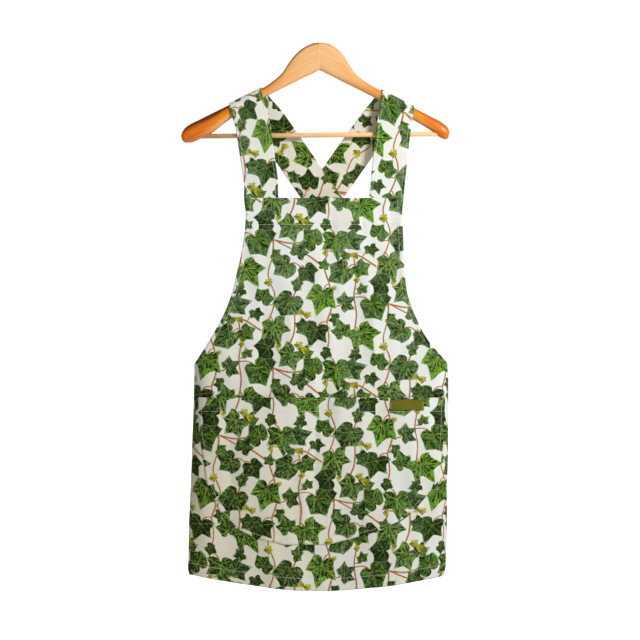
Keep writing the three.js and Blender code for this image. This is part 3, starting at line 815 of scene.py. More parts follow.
def signed_area(outline):
    x, y = outline.T
    return np.sum(x * np.roll(y, -1) - y * np.roll(x, -1)) / 2


def turned_left(outline):
    """The outline running counterclockwise, as the net's faces must."""
    return outline if signed_area(outline) > 0 else outline[::-1]


def inside(outline, points):
    """Which points lie inside a closed outline, by counting the edges crossed."""
    x, y = points[:, 0], points[:, 1]
    count = np.zeros(len(points), bool)
    for (x0, y0), (x1, y1) in zip(outline, np.roll(outline, -1, axis=0)):
        if y0 == y1:
            continue
        crosses = (y0 > y) != (y1 > y)
        count ^= crosses & (x < (x1 - x0) * (y - y0) / (y1 - y0) + x0)
    return count


def lay_flat(piece, flat):
    """The flat cut as the UV map, in metres, alike for both faces of the cloth."""
    corners = np.zeros(len(piece.data.loops), int)
    piece.data.loops.foreach_get("vertex_index", corners)
    layer = piece.data.uv_layers.new(name="cloth")
    layer.data.foreach_set("uv", (np.concatenate([flat, flat])[corners] / 1000).ravel())


def printed_sheet(name, outline, surface, raise_at, cloth, material, shift=(0, 0), lines=(), both=False):
    """A sheet with the print cut into its net: leaves, stems and berries are faces of their own.

    The net is laid out flat, then each side of it follows the surface half a cloth away."""
    shift = np.array(shift, float)
    low = outline.min(0)
    high = outline.max(0)
    us = np.arange(low[0] + NET_STEP / 2, high[0], NET_STEP)
    vs = np.arange(low[1] + NET_STEP / 2, high[1], NET_STEP)
    net = np.stack(np.meshgrid(us, vs), -1).reshape(-1, 2)
    net[:, 0] += np.where(np.round((net[:, 1] - low[1]) / NET_STEP) % 2 > 0, NET_STEP / 2, 0)
    net = np.concatenate([net, *lines])
    keep = inside(outline, net)
    for step in ((NET_MARGIN, 0), (-NET_MARGIN, 0), (0, NET_MARGIN), (0, -NET_MARGIN)):
        keep &= inside(outline, net + step)
    net = net[keep]
    shapes = motifs(low + shift, high + shift)
    points = [Vector(point) for point in turned_left(outline)]
    faces = [list(range(len(outline)))]
    for shape in shapes:
        start = len(points)
        points += [Vector(point) for point in turned_left(shape["outline"] - shift)]
        faces.append(list(range(start, len(points))))
    points += [Vector(point) for point in net]
    flat, _, triangles, _, _, owners = delaunay_2d_cdt(points, [], faces, 0, 1e-3, True)
    kept = [(tri, max(own)) for tri, own in zip(triangles, owners) if 0 in own]
    used = sorted({corner for tri, _ in kept for corner in tri})
    number = {corner: place for place, corner in enumerate(used)}
    flat = np.array([flat[corner][:] for corner in used])
    u, v = flat[:, 0], flat[:, 1]
    middle = surface(u, v)
    normal = facing(surface, u, v)
    outer = middle + normal * (cloth / 2 + raise_at(u, v))[:, None]
    inner = middle - normal * (cloth / 2)
    count = len(flat)
    tris = np.array([[number[corner] for corner in tri] for tri, _ in kept])
    owner = np.array([own for _, own in kept])
    a, b, c = (flat[tris[:, i]] for i in range(3))
    flipped = (b[:, 0] - a[:, 0]) * (c[:, 1] - a[:, 1]) < (b[:, 1] - a[:, 1]) * (c[:, 0] - a[:, 0])
    tris[flipped] = tris[flipped][:, ::-1]
    edges = dict.fromkeys((tri[i], tri[(i + 1) % 3]) for tri in tris.tolist() for i in range(3))
    rim = [(start, end) for start, end in edges if (end, start) not in edges]
    faces = [tuple(tri) for tri in tris]
    faces += [tuple(count + tri[::-1]) for tri in tris]
    faces += [(start, count + start, count + end, end) for start, end in rim]
    piece = new_piece(name, np.concatenate([outer, inner]), faces, material)
    inks, place = np.zeros((2, len(piece.data.loops), 3))
    kinds = np.array([0] + [shape["kind"] for shape in shapes])
    tones = np.array([0.5] + [shape["tone"] for shape in shapes])
    near = leaf_places(flat + shift, tris, owner, shapes)
    loops = 3 * len(tris)
    for start, wrong, order in ((0, 0, (0, 1, 2)), (loops, 0 if both else 1, (2, 1, 0))):
        stop = start + loops
        inks[start:stop, 0] = np.repeat(kinds[owner], 3)
        inks[start:stop, 1] = np.repeat(tones[owner], 3)
        inks[start:stop, 2] = wrong
        place[start:stop] = near[:, order].reshape(-1, 3)
    inks[2 * loops:, 1] = 0.5
    for label, values in (("inks", inks), ("leaf_place", place)):
        attribute = piece.data.attributes.new(label, "FLOAT_VECTOR", "CORNER")
        attribute.data.foreach_set("vector", values.ravel())
    lay_flat(piece, flat)
    for polygon in list(piece.data.polygons)[2 * len(tris):]:
        polygon.use_smooth = False
    return piece


def leaf_places(flat, tris, owner, shapes):
    """For each corner of each face: across and along its leaf, and how near the leaf's edge it is."""
    near = np.zeros((len(tris), 3, 3))
    for number in np.unique(owner):
        if number == 0 or "tip" not in shapes[number - 1]:
            continue
        shape = shapes[number - 1]
        rows = owner == number
        away = (flat[tris[rows]] - shape["base"]) / shape["length"]
        across = away @ shape["across"]
        along = away @ shape["tip"]
        turn = np.degrees(np.arctan2(across, along))
        reach = np.hypot(across, along)
        near[rows, :, 0] = across
        near[rows, :, 1] = along
        near[rows, :, 2] = reach / leaf_reach(shape["lobes"], turn, shape["row"])
    return near


COTTON = (0.79, 0.81, 0.79, 1)
COTTON_WARM = (0.78, 0.77, 0.71, 1)
COTTON_SLUB = (0.7, 0.69, 0.64, 1)
# Painted shade on the bare cloth, low on the left and on the straps' back runs.
COTTON_SHADE = (0.71, 0.66, 0.53, 1)
LEAF_DARK = (0.006, 0.022, 0.01, 1)
LEAF_MID = (0.022, 0.105, 0.008, 1)
LEAF_BRIGHT = (0.14, 0.42, 0.012, 1)
LEAF_GREY = (0.14, 0.23, 0.11, 1)
LEAF_SHADE = (0.004, 0.012, 0.001, 1)
LEAF_VEIN = (0.3, 0.5, 0.11, 1)
LEAF_RIM = (0.55, 0.66, 0.4, 1)
LEAF_YELLOW = (0.22, 0.36, 0.02, 1)
STEM_BROWN = (0.34, 0.105, 0.018, 1)
STEM_PALE = (0.52, 0.25, 0.08, 1)
BERRY_OLIVE = (0.16, 0.14, 0.004, 1)
BERRY_LIME = (0.5, 0.5, 0.03, 1)
VEIN_TURNS = (0, 58, 116)


def leaf_colour(finish, tone, grey, place, cloth, deep):
    """Green by tone: streaked from the stalk and marbled, paler on one half, with pale veins and rim.
    Where deep is high they are darkened with painted shade, where it is low greyed with painted sheen.
    """
    blotch = finish.noise(cloth, 120, 3, 0.55)
    marble = finish.noise(cloth, 230, 3, 0.6)
    half, along, rim = place.split()
    across = abs(half)
    sockets = {"X": half.maths("ARCTAN2", along) * 3.2, "Y": rim * 1.1, "Z": tone * 9 + grey * 31}
    fan = finish.node("ShaderNodeCombineXYZ", {}, sockets)
    streak = finish.noise(fan, 1.6, 3, 0.6)
    vein = beside = rib = 0
    for turn in VEIN_TURNS:
        way = math.radians(turn)
        off = abs(across * math.cos(way) - along * math.sin(way)) + (blotch - 0.5) * 0.05
        ahead = across * math.sin(way) + along * math.cos(way)
        sector = ahead.step(0, 0.04) * (off - ahead * 0.55).step(0.03, -0.01)
        line = off.step(0.022, 0.004) * ahead.step(-0.01, 0.03) * ahead.step(0.85, 0.35)
        vein = line.maths("MAXIMUM", vein)
        near = off.step(0.15, 0.03) * ahead.step(-0.02, 0.08) * ahead.step(0.85, 0.4)
        beside = near.maths("MAXIMUM", beside)
        comb = ((ahead - off * 0.8) * 34).maths("SINE").step(0.6, 1) * sector
        rib = comb.maths("MAXIMUM", rib)
    green = finish.mix(tone.step(0, 0.5), LEAF_DARK, LEAF_MID)
    green = finish.mix(tone.step(0.4, 0.95), green, LEAF_BRIGHT)
    lit = (half * grey.step(0.02, 0) - half * grey.step(0, 0.02)).step(-0.05, 0.12)
    # Where deep is low, high on the apron, the leaves are greyed: painted sheen.
    dull = grey * 0.85 + lit * (0.15 + tone * 0.3) + (0.3 - deep).step(0, 1) * 0.8
    green = finish.mix(dull, green, LEAF_GREY)
    shade = streak.step(0.47, 0.55) * 0.8 + blotch.step(0.48, 0.56) * 0.5 + beside * 0.45
    shade = shade - rim.step(0.6, 1) * 0.2
    # deep darkens the leaves: painted shade.
    green = finish.mix(shade * (1 - lit * 0.35) + deep * 0.6, green, LEAF_SHADE)
    green = finish.mix(streak.step(0.47, 0.37) * (0.1 + tone * 0.9), green, LEAF_YELLOW)
    light = marble.step(0.54, 0.64) * (0.06 + tone * 0.35 + grey * 0.15 + lit * 0.2)
    green = finish.mix(light + rib * rim.step(0.98, 0.6) * (0.05 + tone * 0.2), green, LEAF_VEIN)
    green = finish.mix(rim.step(0.94, 0.995) * 0.5, green, LEAF_RIM)
    return finish.mix(vein * (0.35 + tone * 0.25), green, LEAF_VEIN)


def printed_cotton():
    finish = Finish("printed_cotton", "printed_cotton", Roughness=0.88, Specular_IOR_Level=0.12)
    kind, tone, wrong = finish.node("ShaderNodeAttribute", {"attribute_name": "inks"}, out="Vector").split()
    place = finish.node("ShaderNodeAttribute", {"attribute_name": "leaf_place"}, out="Vector")
    cloth = finish.node("ShaderNodeUVMap", {"uv_map": "cloth"}, out="UV")
    warp, weft, _ = cloth.split()
    # deep: painted shade, growing down the skirt and towards its left, and on the straps past the top of the
    # arms.
    deep = weft.step(-0.38, -0.72) * (0.35 + warp.step(0.14, -0.2) * 0.65) + weft.step(0.01, 0.05) * 0.85
    green = leaf_colour(finish, tone, kind.step(LEAF, LEAF + GREYEST), place, cloth, deep)
    bark = finish.noise(cloth, 300, 3)
    brown = finish.mix(bark.step(0.42, 0.62), STEM_BROWN, STEM_PALE)
    olive = finish.mix(tone, BERRY_OLIVE, BERRY_LIME)
    slub = finish.node("ShaderNodeMapping", {}, {"Vector": cloth, "Scale": (900, 90, 1)})
    thread = finish.noise(slub, 1)
    tint = finish.noise(cloth, 7, 1)
    ground = finish.mix(tint.step(0.4, 0.65), COTTON, COTTON_WARM)
    # Painted shade on the bare cloth where deep is high.
    ground = finish.mix((deep - 0.25) * 1.2, ground, COTTON_SHADE)
    ground = finish.mix(thread.step(0.55, 0.75) * 0.35, ground, COTTON_SLUB)
    colour = ground
    for number, ink in ((LEAF, green), (STEM, brown), (BERRY, olive)):
        colour = finish.mix(kind.step(number - 0.5, number - 0.4), colour, ink)
    colour = finish.mix(wrong * WRONG_SIDE_PALE, colour, ground)
    finish.feed("Base Color", colour)
    pitch = 2 * math.pi / (WEAVE_PITCH / 1000)
    weave = (warp * pitch).maths("SINE") * (weft * pitch).maths("SINE")
    crumple = finish.noise(cloth, 38, 4, 0.55)
    height = weave * 0.04 + thread * 0.06 + crumple * 1.4
    finish.emboss(height, 0.8, 0.001)
    return finish


cotton = printed_cotton()
RIPPLE_WAVES = 9
RIPPLE_PITCH = (34, 95)
RIPPLE_HEIGHT = 0.4


def ripple(u, v, seed):
    """Slight unevenness of the hung cloth, the sum of a few long waves across it."""
    draw = random.Random(seed)
    total = 0 * u
    for _ in range(RIPPLE_WAVES):
        way = draw.uniform(-0.9, 0.9)
        pitch = draw.uniform(*RIPPLE_PITCH)
        phase = draw.uniform(0, 6.28)
        total = total + np.sin((u * math.cos(way) + v * math.sin(way)) * 2 * math.pi / pitch + phase)
    return total * RIPPLE_HEIGHT


def hem_raise(distance, width, along, seed):
    """A doubled hem stands proud, its stitched line is pulled in, and it puckers a little there."""
    raised = HEM_RAISE * (1 - smooth((distance - width - 0.6) / 1.6))
    groove = HEM_GROOVE * np.exp(-((distance - width) / 1.3) ** 2)
    pucker = HEM_PUCKER * np.sin(along * 2 * math.pi / 7.5 + 2 * np.sin(along / 23 + seed))
    near = np.exp(-((distance - width) / 5) ** 2)
    return raised - groove + pucker * near


CREASE_FADE = 14
CREASE_CHART = """
at   top  foot deep wide
-50  -425 -520 2    4
-38  -440 -500 -1.5 4
68   -262 -330 -1.6 4
106  -268 -370 1.8  4
18   -275 -340 -1.2 6
88   -430 -540 1.3  6
-84  -290 -390 1.4  5
-120 -520 -600 1.8  5
-30  -700 -800 2    6
62   -690 -850 -1.8 7
150  -640 -760 1.8  6
-150 -690 -800 -1.6 6
-12  -520 -580 1.6  4
130  -480 -575 -1.6 5
-95  -410 -500 -1.4 5
30   -375 -450 1.2  5
"""
crease_chart = Table(CREASE_CHART).columns


def body_raise(u, v):
    side_u = np.abs(u)
    total = hem_raise(bib_top - v, BIB_HEM, u, 1) + hem_raise(v - side_end, FOOT_HEM, u, 2)
    total = total + TURNING_RAISE * (1 - smooth((bib_top - v - BIB_HEM - BIB_TURNING) / 1.5))
    for side in (-1, 1):
        here = np.sign(u) == side
        edge = front_place(side, body_edge(side, v), v)
        gap = (edge - side_u) * 0.86
        near = here & (v > arm_corner - 8) & (side_u < edge + 1)
        total = total + np.where(near, hem_raise(gap, ARMHOLE_HEM, v, 3), 0)
        inner_u, inner_v = back_inner_edge(side)
        free = np.interp(-v, -inner_v, np.abs(inner_u))
        back = here & (side_u > flat_half(side, v) + 2 * fold_arc)
        total = total + np.where(back, hem_raise(free - side_u, BACK_HEM, v, 4), 0)
    return total


def creases(u, v):
    """Soft upright creases left in the cloth by folding and wear, each a low ridge or a shallow hollow."""
    total = 0 * u
    for at, top, foot, deep, wide in zip(*crease_chart.values()):
        ends = smooth((top - v) / CREASE_FADE) * smooth((v - foot) / CREASE_FADE)
        total = total + deep * np.exp(-((u - at) / wide) ** 2) * ends
    return total


def body_cloth(u, v):
    point = body_surface(u, v)
    calm = smooth((bib_top - v) / 60)
    proud = ripple(u, v, 5) * calm - creases(u, v)
    point[..., 1] += proud * np.where(np.abs(u) < flat_half(1, v) + fold_arc, 1, -1)
    return point


# Extra rows of net points beside each seam give its groove and puckers their faces.
across_all = np.arange(-520, 520, 3.0)
body_rows = [bib_top - BIB_HEM + step for step in GROOVE_ROWS]
body_rows += [bib_top - BIB_HEM - BIB_TURNING + step for step in (-1.5, 0)]
body_rows += [side_end + FOOT_HEM + step for step in GROOVE_ROWS]
body_lines = [places(across_all, level) for level in body_rows]
for side in (-1, 1):
    levels = np.arange(bib_top, arm_corner, -3.0)
    edge = side * front_place(side, body_edge(side, levels), levels)
    for step in (*GROOVE_ROWS, 3.4):
        body_lines.append(places(edge - side * ARMHOLE_SLANT * (ARMHOLE_HEM + step), levels))
outline = body_outline()
body_sheet = (body_cloth, body_raise, BODY_CLOTH)
body = printed_sheet("apron_body_cloth", outline, *body_sheet, cotton.material,
                     shift=(31, 40), lines=body_lines)
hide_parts("apron_body")


# Shoulder straps: doubled bands of the same printed cotton, topstitched along both edges. Each is laid
# out flat, bent over its arm, and runs crossed down the back to the panel of the other side. The front
# ends are sewn behind the bib's hem and the back ends inside the back panels.
STRAP_TUCK = 28
STRAP_TOP_CLEARANCE = 1
STRAP_EASE = 40
STRAP_THICK = 1.4
STRAP_STITCH = 4.5
STRAP_RIPPLE = 0.4
CROSSING_LIFT = 2.6
STRAP_SETTLE = {-1: -3.4, 1: -1.2}
STRAP_SWAY = {-1: -4, 1: -0.5}
STRAP_HELD = 24
SETTLE_RUN = (50, 90)
SWAY_RUN = (40, 30)
SLACK_RUN = 60
STRAP_GROOVE = 0.35
STRAP_PUCKER = 0.16


class StrapPath:
    """Flat layout of a strap: P along it from the top of the arm, Q outwards along the arm."""

    def __init__(self, side):
        self.side = side
        top_x = STRAP_SHIFT + side * STRAP_SPREAD
        ends = [float(arm_edge(side, top_x + step * STRAP_WIDTH / 2, "top")) for step in (-1, 1)]
        slope = math.atan2(side * (ends[0] - ends[1]), STRAP_WIDTH)
        self.along = np.array([side * math.cos(slope), 0, -math.sin(slope)])
        self.up = np.array([side * math.sin(slope), 0, math.cos(slope)])
        lift = (STRAP_TOP_CLEARANCE + STRAP_CLOTH / 2) / math.cos(slope)
        top = np.array([top_x, 0, float(arm_edge(side, top_x, "top")) + lift])
        self.axis = top - strap_face * self.up
        self.arc = math.pi * strap_face / 2
        edge = float(body_edge(side, bib_top))
        self.front = self.flat_of(edge - side * STRAP_WIDTH / 2, bib_top - STRAP_TUCK, -1)
        end = back_joint(-side)[2]
        self.back = self.flat_of(end[0], end[1], 1)
        (fp, fq), (bp, bq) = self.front, self.back
        spread = fp * self.ease(bp) - bp * self.ease(fp)
        self.lean = (fq * self.ease(bp) - bq * self.ease(fp)) / spread
        self.kink = (fp * bq - bp * fq) / spread

    def ease(self, p):
        return np.hypot(p, STRAP_EASE) - STRAP_EASE

    def flat_of(self, x, z, face):
        away = np.array([x, 0, z]) - self.axis
        return face * (self.arc - away @ self.up), away @ self.along

    def across(self, p):
        return self.lean * p + self.kink * self.ease(p)

    def bent(self, p, q):
        turn = np.clip(p / strap_face, -math.pi / 2, math.pi / 2)
        height = strap_face * np.cos(turn) - np.maximum(np.abs(p) - self.arc, 0)
        point = self.axis + q[..., None] * self.along + height[..., None] * self.up
        point[..., 1] = strap_face * np.sin(turn)
        return point

    def surface(self, u, v):
        """The cloth's middle, u across towards the right and v along from the front end."""
        p = np.asarray(v, float)
        settle = smooth((p - self.arc) / SETTLE_RUN[0]) * smooth((self.back[0] - p) / SETTLE_RUN[1])
        sway = smooth((-p - self.arc) / SWAY_RUN[0]) * smooth((p - self.front[0] - STRAP_HELD) / SWAY_RUN[1])
        aside = STRAP_SETTLE[self.side] * settle + STRAP_SWAY[self.side] * sway
        q = self.side * np.asarray(u, float)
        slope = self.lean + self.kink * p / np.hypot(p, STRAP_EASE)
        size = np.hypot(1, slope)
        square = smooth((np.abs(p) - self.arc) / STRAP_WIDTH)
        wide = square / size + (1 - square) * size
        point = self.bent(p - square * q * slope / size, self.across(p) + aside + q * wide)
        if self.side > 0:
            away = np.hypot(point[..., 0] - strap_cross[0], point[..., 2] - strap_cross[1])
            lift = CROSSING_LIFT * (1 - smooth((away - STRAP_WIDTH) / STRAP_WIDTH))
            point[..., 1] += np.where(p > self.arc, lift, 0)
        slack = smooth((np.abs(p) - SLACK_RUN) / SLACK_RUN)
        point[..., 1] += STRAP_RIPPLE * ripple(u * 1.3, v, 11 + self.side) * slack
        return point


paths = {side: StrapPath(side) for side in (-1, 1)}
ends = []
for path in paths.values():
    p = np.array([path.arc, path.back[0]])
    ends.append(path.bent(p, path.across(p))[:, [0, 2]])
(a, b), (c, d) = ends
share = np.cross(c - a, d - c) / np.cross(b - a, d - c)
strap_cross = a + share * (b - a)


def strap_raise(u, v):
    gap = STRAP_WIDTH / 2 - np.abs(u)
    groove = STRAP_GROOVE * np.exp(-((gap - STRAP_STITCH) / 1.1) ** 2)
    pucker = STRAP_PUCKER * np.sin(v * 2 * math.pi / 8 + np.sin(v / 19))
    return pucker * np.exp(-((gap - STRAP_STITCH) / 4) ** 2) - groove


half = STRAP_WIDTH / 2
for side, path in paths.items():
    run = np.arange(path.front[0], path.back[0], 4.0)
    run = np.append(run[:-1], path.back[0])
    wide = np.linspace(-half, half, 15)
    ends = places(wide[-2:0:-1], path.back[0]), places(wide[1:-1], path.front[0])
    outline = np.concatenate([places(half, run), ends[0], places(-half, run[::-1]), ends[1]])
    fine = np.arange(path.front[0] + 2, path.back[0] - 2, 2.5)
    rows = [edge * (half - STRAP_STITCH - step) for edge in (-1, 1) for step in (-1.3, 0, 1.3)]
    lines = [places(row, fine) for row in rows]
    name = f"strap_{SIDE_NAME[side]}_cloth"
    strap = printed_sheet(name, outline, path.surface, strap_raise, STRAP_THICK, cotton.material,
                          shift=(70 + 60 * side, 84 - 30 * side), lines=lines, both=True)
    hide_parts(f"strap_{SIDE_NAME[side]}")
    length = float(path.back[0] - path.front[0]) / 1000


# Pocket: one wide patch of the printed cotton with a deep hem along its open top, sewn to the front
# round its sides and foot, and down the middle to make two pockets. It stands slightly open.
POCKET_CLOTH = 0.8
POCKET_WIDTH = 405
POCKET_DEPTH = 242
POCKET_TOP_DROP = 588
POCKET_SHIFT = 4
POCKET_SEAM_SHIFT = -11
POCKET_SEAM_LEAN = -8
POCKET_BULGE = 8
POCKET_HEM = 23
POCKET_EDGE_STITCH = 5
POCKET_LAP = 0.25
POCKET_FULLNESS = 0.55
POCKET_GROOVE = 0.5
POCKET_PUCKER = 0.2
POCKET_CREASE = (78, -612, -655, 0.9, 1.6)
POCKET_EDGE = """
down  left  right
0     1     1
0.2   0.997 0.995
0.42  0.96  0.971
0.56  0.938 0.945
0.65  0.897 0.87
0.72  0.862 0.8
0.78  0.825 0.74
0.84  0.77  0.64
0.9   0.67  0.48
0.95  0.54  0.29
1     0.3   0.06
"""
pocket_edge = Table(POCKET_EDGE)
pocket_top = -POCKET_TOP_DROP


def pocket_half(side, level):
    return POCKET_WIDTH / 2 * pocket_edge.read(SIDE_NAME[side], (pocket_top - level) / POCKET_DEPTH)


def pocket_half_at(x, level):
    return np.where(x < POCKET_SHIFT, pocket_half(-1, level), pocket_half(1, level))


def pocket_seam_at(down):
    """The middle seam's X, a share of the way down the pocket."""
    return POCKET_SHIFT + POCKET_SEAM_SHIFT + POCKET_SEAM_LEAN * (down - 0.5)


def front_at(x, level):
    """The front's cloth and its facing, at this X and really at this level below the hem's dip."""
    up = level
    for _ in range(4):
        up = level + hem_dip(x, up)
    place = np.where(x < SKIRT_SHIFT, -front_place(-1, x, up), front_place(1, x, up))
    return body_cloth(place, up), facing(body_cloth, place, up)


def pocket_stand(x, level):
    """How far the pocket's cloth stands off the front: nothing at its seams, most between them."""
    down = np.clip((pocket_top - level) / POCKET_DEPTH, 0, 1)
    seam = pocket_seam_at(down)
    reach = np.abs(POCKET_SHIFT + np.where(x < seam, -1, 1) * pocket_half_at(x, level) - seam)
    share = np.clip(np.abs(x - seam) / reach, 0, 1)
    return POCKET_BULGE * POCKET_FULLNESS * (1 - np.abs(2 * share - 1) ** 3) * (1 - down ** 2)


def pocket_cloth(x, level, over=0):
    """The pocket's middle, or a piece that lies this far over it."""
    point, normal = front_at(x, level)
    proud = (BODY_CLOTH + POCKET_CLOTH) / 2 + POCKET_LAP + pocket_stand(x, level) + over
    return point + normal * proud[..., None]


def pocket_gap(x, level):
    """Distance in from the pocket's sewn edge, nearly, by the slope of the edge at that level."""
    half = pocket_half_at(x, level)
    gap = half - np.abs(x - POCKET_SHIFT)
    slope = np.hypot(1, half - pocket_half_at(x, level - 1))
    return np.minimum(gap / slope, level - pocket_top + POCKET_DEPTH)


def pocket_raise(x, level):
    band = hem_raise(pocket_top - level, POCKET_HEM, x, 6)
    edge = hem_raise(pocket_gap(x, level), POCKET_EDGE_STITCH, level + x, 7) * 0.8
    away = x - pocket_seam_at((pocket_top - level) / POCKET_DEPTH)
    middle = POCKET_PUCKER * np.sin(level * 0.9) * np.exp(-(away / 5) ** 2)
    middle = middle - POCKET_GROOVE * np.exp(-(away / 1.4) ** 2)
    at, top, foot, deep, wide = POCKET_CREASE
    crease = deep * np.exp(-((x - at) / wide) ** 2) * smooth((level - foot) / 20) * smooth((top - level) / 8)
    return band + edge + middle - crease


levels = np.linspace(pocket_top, pocket_top - POCKET_DEPTH, 90)
right = places(POCKET_SHIFT + pocket_half(1, levels), levels)
left = places(POCKET_SHIFT - pocket_half(-1, levels), levels)[::-1]
foot = np.linspace(right[-1], left[0], 20)[1:-1]
top = np.linspace(left[-1], right[0], 110)[1:-1]
pocket_outline = np.concatenate([right, foot, left, top])
across = np.arange(-205, 210, 3.0)
pocket_lines = [places(across, pocket_top - POCKET_HEM + step) for step in GROOVE_ROWS]
inward = np.roll(pocket_outline, -1, axis=0) - np.roll(pocket_outline, 1, axis=0)
inward = places(inward[:, 1], -inward[:, 0]) / np.hypot(*inward.T)[:, None]
for step in GROOVE_ROWS:
    pocket_lines.append((pocket_outline + inward * (POCKET_EDGE_STITCH + step))[: -len(top)])
fall = np.linspace(0.01, 0.99, 80)
for step in (-1.4, 0, 1.4):
    pocket_lines.append(places(pocket_seam_at(fall) + step, pocket_top - fall * POCKET_DEPTH))
pocket_sheet = (pocket_cloth, pocket_raise, POCKET_CLOTH)
pocket = printed_sheet("pocket_cloth", pocket_outline, *pocket_sheet, cotton.material,
                       shift=(118, 150), lines=pocket_lines)
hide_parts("pocket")


# Label: a small tab of olive tape, woven of cotton and left bare.
# It lies flat on the pocket's hem near its right end, sewn down at both of its own ends.
LABEL_WIDTH = 54
LABEL_HEIGHT = 16
LABEL_CLOTH = 0.8
LABEL_FROM_EDGE = 62
LABEL_FROM_TOP = 12.5
LABEL_LAP = 0.15
LABEL_STITCH = 1.6
LABEL_COLUMNS = 36
LABEL_ROWS = 12
WARP_PITCH = 0.0016
WEFT_PITCH = 0.0009
OLIVE_DARK = (0.1, 0.095, 0.003, 1)
OLIVE_LIGHT = (0.22, 0.21, 0.012, 1)


def olive_tape():
    finish = Finish("olive_tape", "label_cotton", Roughness=0.75, Specular_IOR_Level=0.2)
    cloth = finish.node("ShaderNodeUVMap", {"uv_map": "cloth"}, out="UV")
    warp, weft, _ = cloth.split()
    across, along = (warp * (2 * math.pi / WARP_PITCH), weft * (2 * math.pi / WEFT_PITCH))
    weave = along.maths("SINE") * (0.6 + 0.4 * across.maths("SINE"))
    wear = finish.noise(cloth, 300, 3)
    finish.feed("Base Color", finish.mix(weave * 0.25 + wear * 0.9 - 0.1, OLIVE_DARK, OLIVE_LIGHT))
    finish.emboss(weave, 0.4, 0.0002)
    return finish


def label_cloth(x, level):
    return pocket_cloth(x, level, POCKET_CLOTH / 2 + HEM_RAISE + LABEL_CLOTH / 2 + LABEL_LAP)


def label_raise(x, level):
    return 0 * x


label_middle = (POCKET_SHIFT + POCKET_WIDTH / 2 - LABEL_FROM_EDGE, pocket_top - LABEL_FROM_TOP)
xs = label_middle[0] + np.linspace(-0.5, 0.5, LABEL_COLUMNS) * LABEL_WIDTH
zs = label_middle[1] + np.linspace(-0.5, 0.5, LABEL_ROWS) * LABEL_HEIGHT
net_x, net_z = (grid.ravel() for grid in np.meshgrid(xs, zs))
middle = label_cloth(net_x, net_z)
normal = facing(label_cloth, net_x, net_z)
points = np.concatenate([middle + normal * LABEL_CLOTH / 2, middle - normal * LABEL_CLOTH / 2])
count = len(net_x)
faces = []
for row in range(LABEL_ROWS - 1):
    for column in range(LABEL_COLUMNS - 1):
        corner = row * LABEL_COLUMNS + column
        cell = [corner, corner + 1, corner + 1 + LABEL_COLUMNS, corner + LABEL_COLUMNS]
        faces.append(cell)
        faces.append([count + place for place in cell[::-1]])
ring = list(range(LABEL_COLUMNS))
ring += [row * LABEL_COLUMNS + LABEL_COLUMNS - 1 for row in range(1, LABEL_ROWS)]
ring += [count - 1 - step for step in range(1, LABEL_COLUMNS)]
ring += [row * LABEL_COLUMNS for row in range(LABEL_ROWS - 2, 0, -1)]
for start, end in zip(ring, ring[1:] + ring[:1]):
    faces.append([end, start, count + start, count + end])
tape = olive_tape()
label = new_piece("label_tape", points, faces, tape.material)
lay_flat(label, places(net_x, net_z))
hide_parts("label_tab")


# Stitching: white cotton thread along every hem and seam, each stitch a small solid lying on the cloth.
# The stitches of a seam are one mesh, and each dips into the cloth at both ends.
STITCH_PITCH = 2.9
STITCH_LENGTH = 2.2
STITCH_WIDTH = 0.75
STITCH_HEIGHT = 0.4
STITCH_SIDES = 6
STITCH_STATIONS = np.array([0, 0.22, 0.5, 0.78, 1])
STITCH_SWELL = np.array([0.25, 0.85, 1, 0.85, 0.25])
THREAD = (0.86, 0.86, 0.82, 1)
THREAD_SHADE = (0.7, 0.69, 0.65, 1)


def cotton_thread():
    finish = Finish("cotton_thread", "printed_cotton", Roughness=0.6)
    place = finish.node("ShaderNodeTexCoord", out="Object")
    twist = finish.noise(place, 1500, 1)
    finish.feed("Base Color", finish.mix(twist.step(0.4, 0.6), THREAD, THREAD_SHADE))
    return finish


def seam(name, path, surface, raise_at, cloth):
    """Stitches along a path of the flat cut, on the outer face of a cloth."""
    run = np.hypot(*np.diff(path, axis=0).T)
    total = np.concatenate([[0], np.cumsum(run)])
    starts = np.arange(STITCH_PITCH / 2, total[-1] - STITCH_PITCH, STITCH_PITCH)
    along = (starts[:, None] + STITCH_STATIONS * STITCH_LENGTH).ravel()
    swell = np.tile(STITCH_SWELL, len(starts))
    u = np.interp(along, total, path[:, 0])
    v = np.interp(along, total, path[:, 1])
    normal = facing(surface, u, v)
    proud = cloth / 2 + raise_at(u, v) + (swell - 0.75) * STITCH_HEIGHT * 0.8
    middle = surface(u, v) + normal * proud[:, None]
    rings = middle.reshape(len(starts), -1, 3)
    side = np.cross(normal, np.gradient(rings, axis=1).reshape(-1, 3))
    side /= np.linalg.norm(side, axis=1, keepdims=True)
    turn = 2 * np.pi * np.arange(STITCH_SIDES) / STITCH_SIDES
    out = side[:, None] * (np.cos(turn) * STITCH_WIDTH / 2)[:, None]
    out = out + normal[:, None] * (np.sin(turn) * STITCH_HEIGHT / 2)[:, None]
    points = (middle[:, None] + out * swell[:, None, None]).reshape(-1, 3)
    faces = []
    for first in range(0, len(points), len(STITCH_STATIONS) * STITCH_SIDES):
        faces += tube_faces(len(STITCH_STATIONS), STITCH_SIDES, turned=True, first=first)
    piece = new_piece(name, points, faces, thread.material)


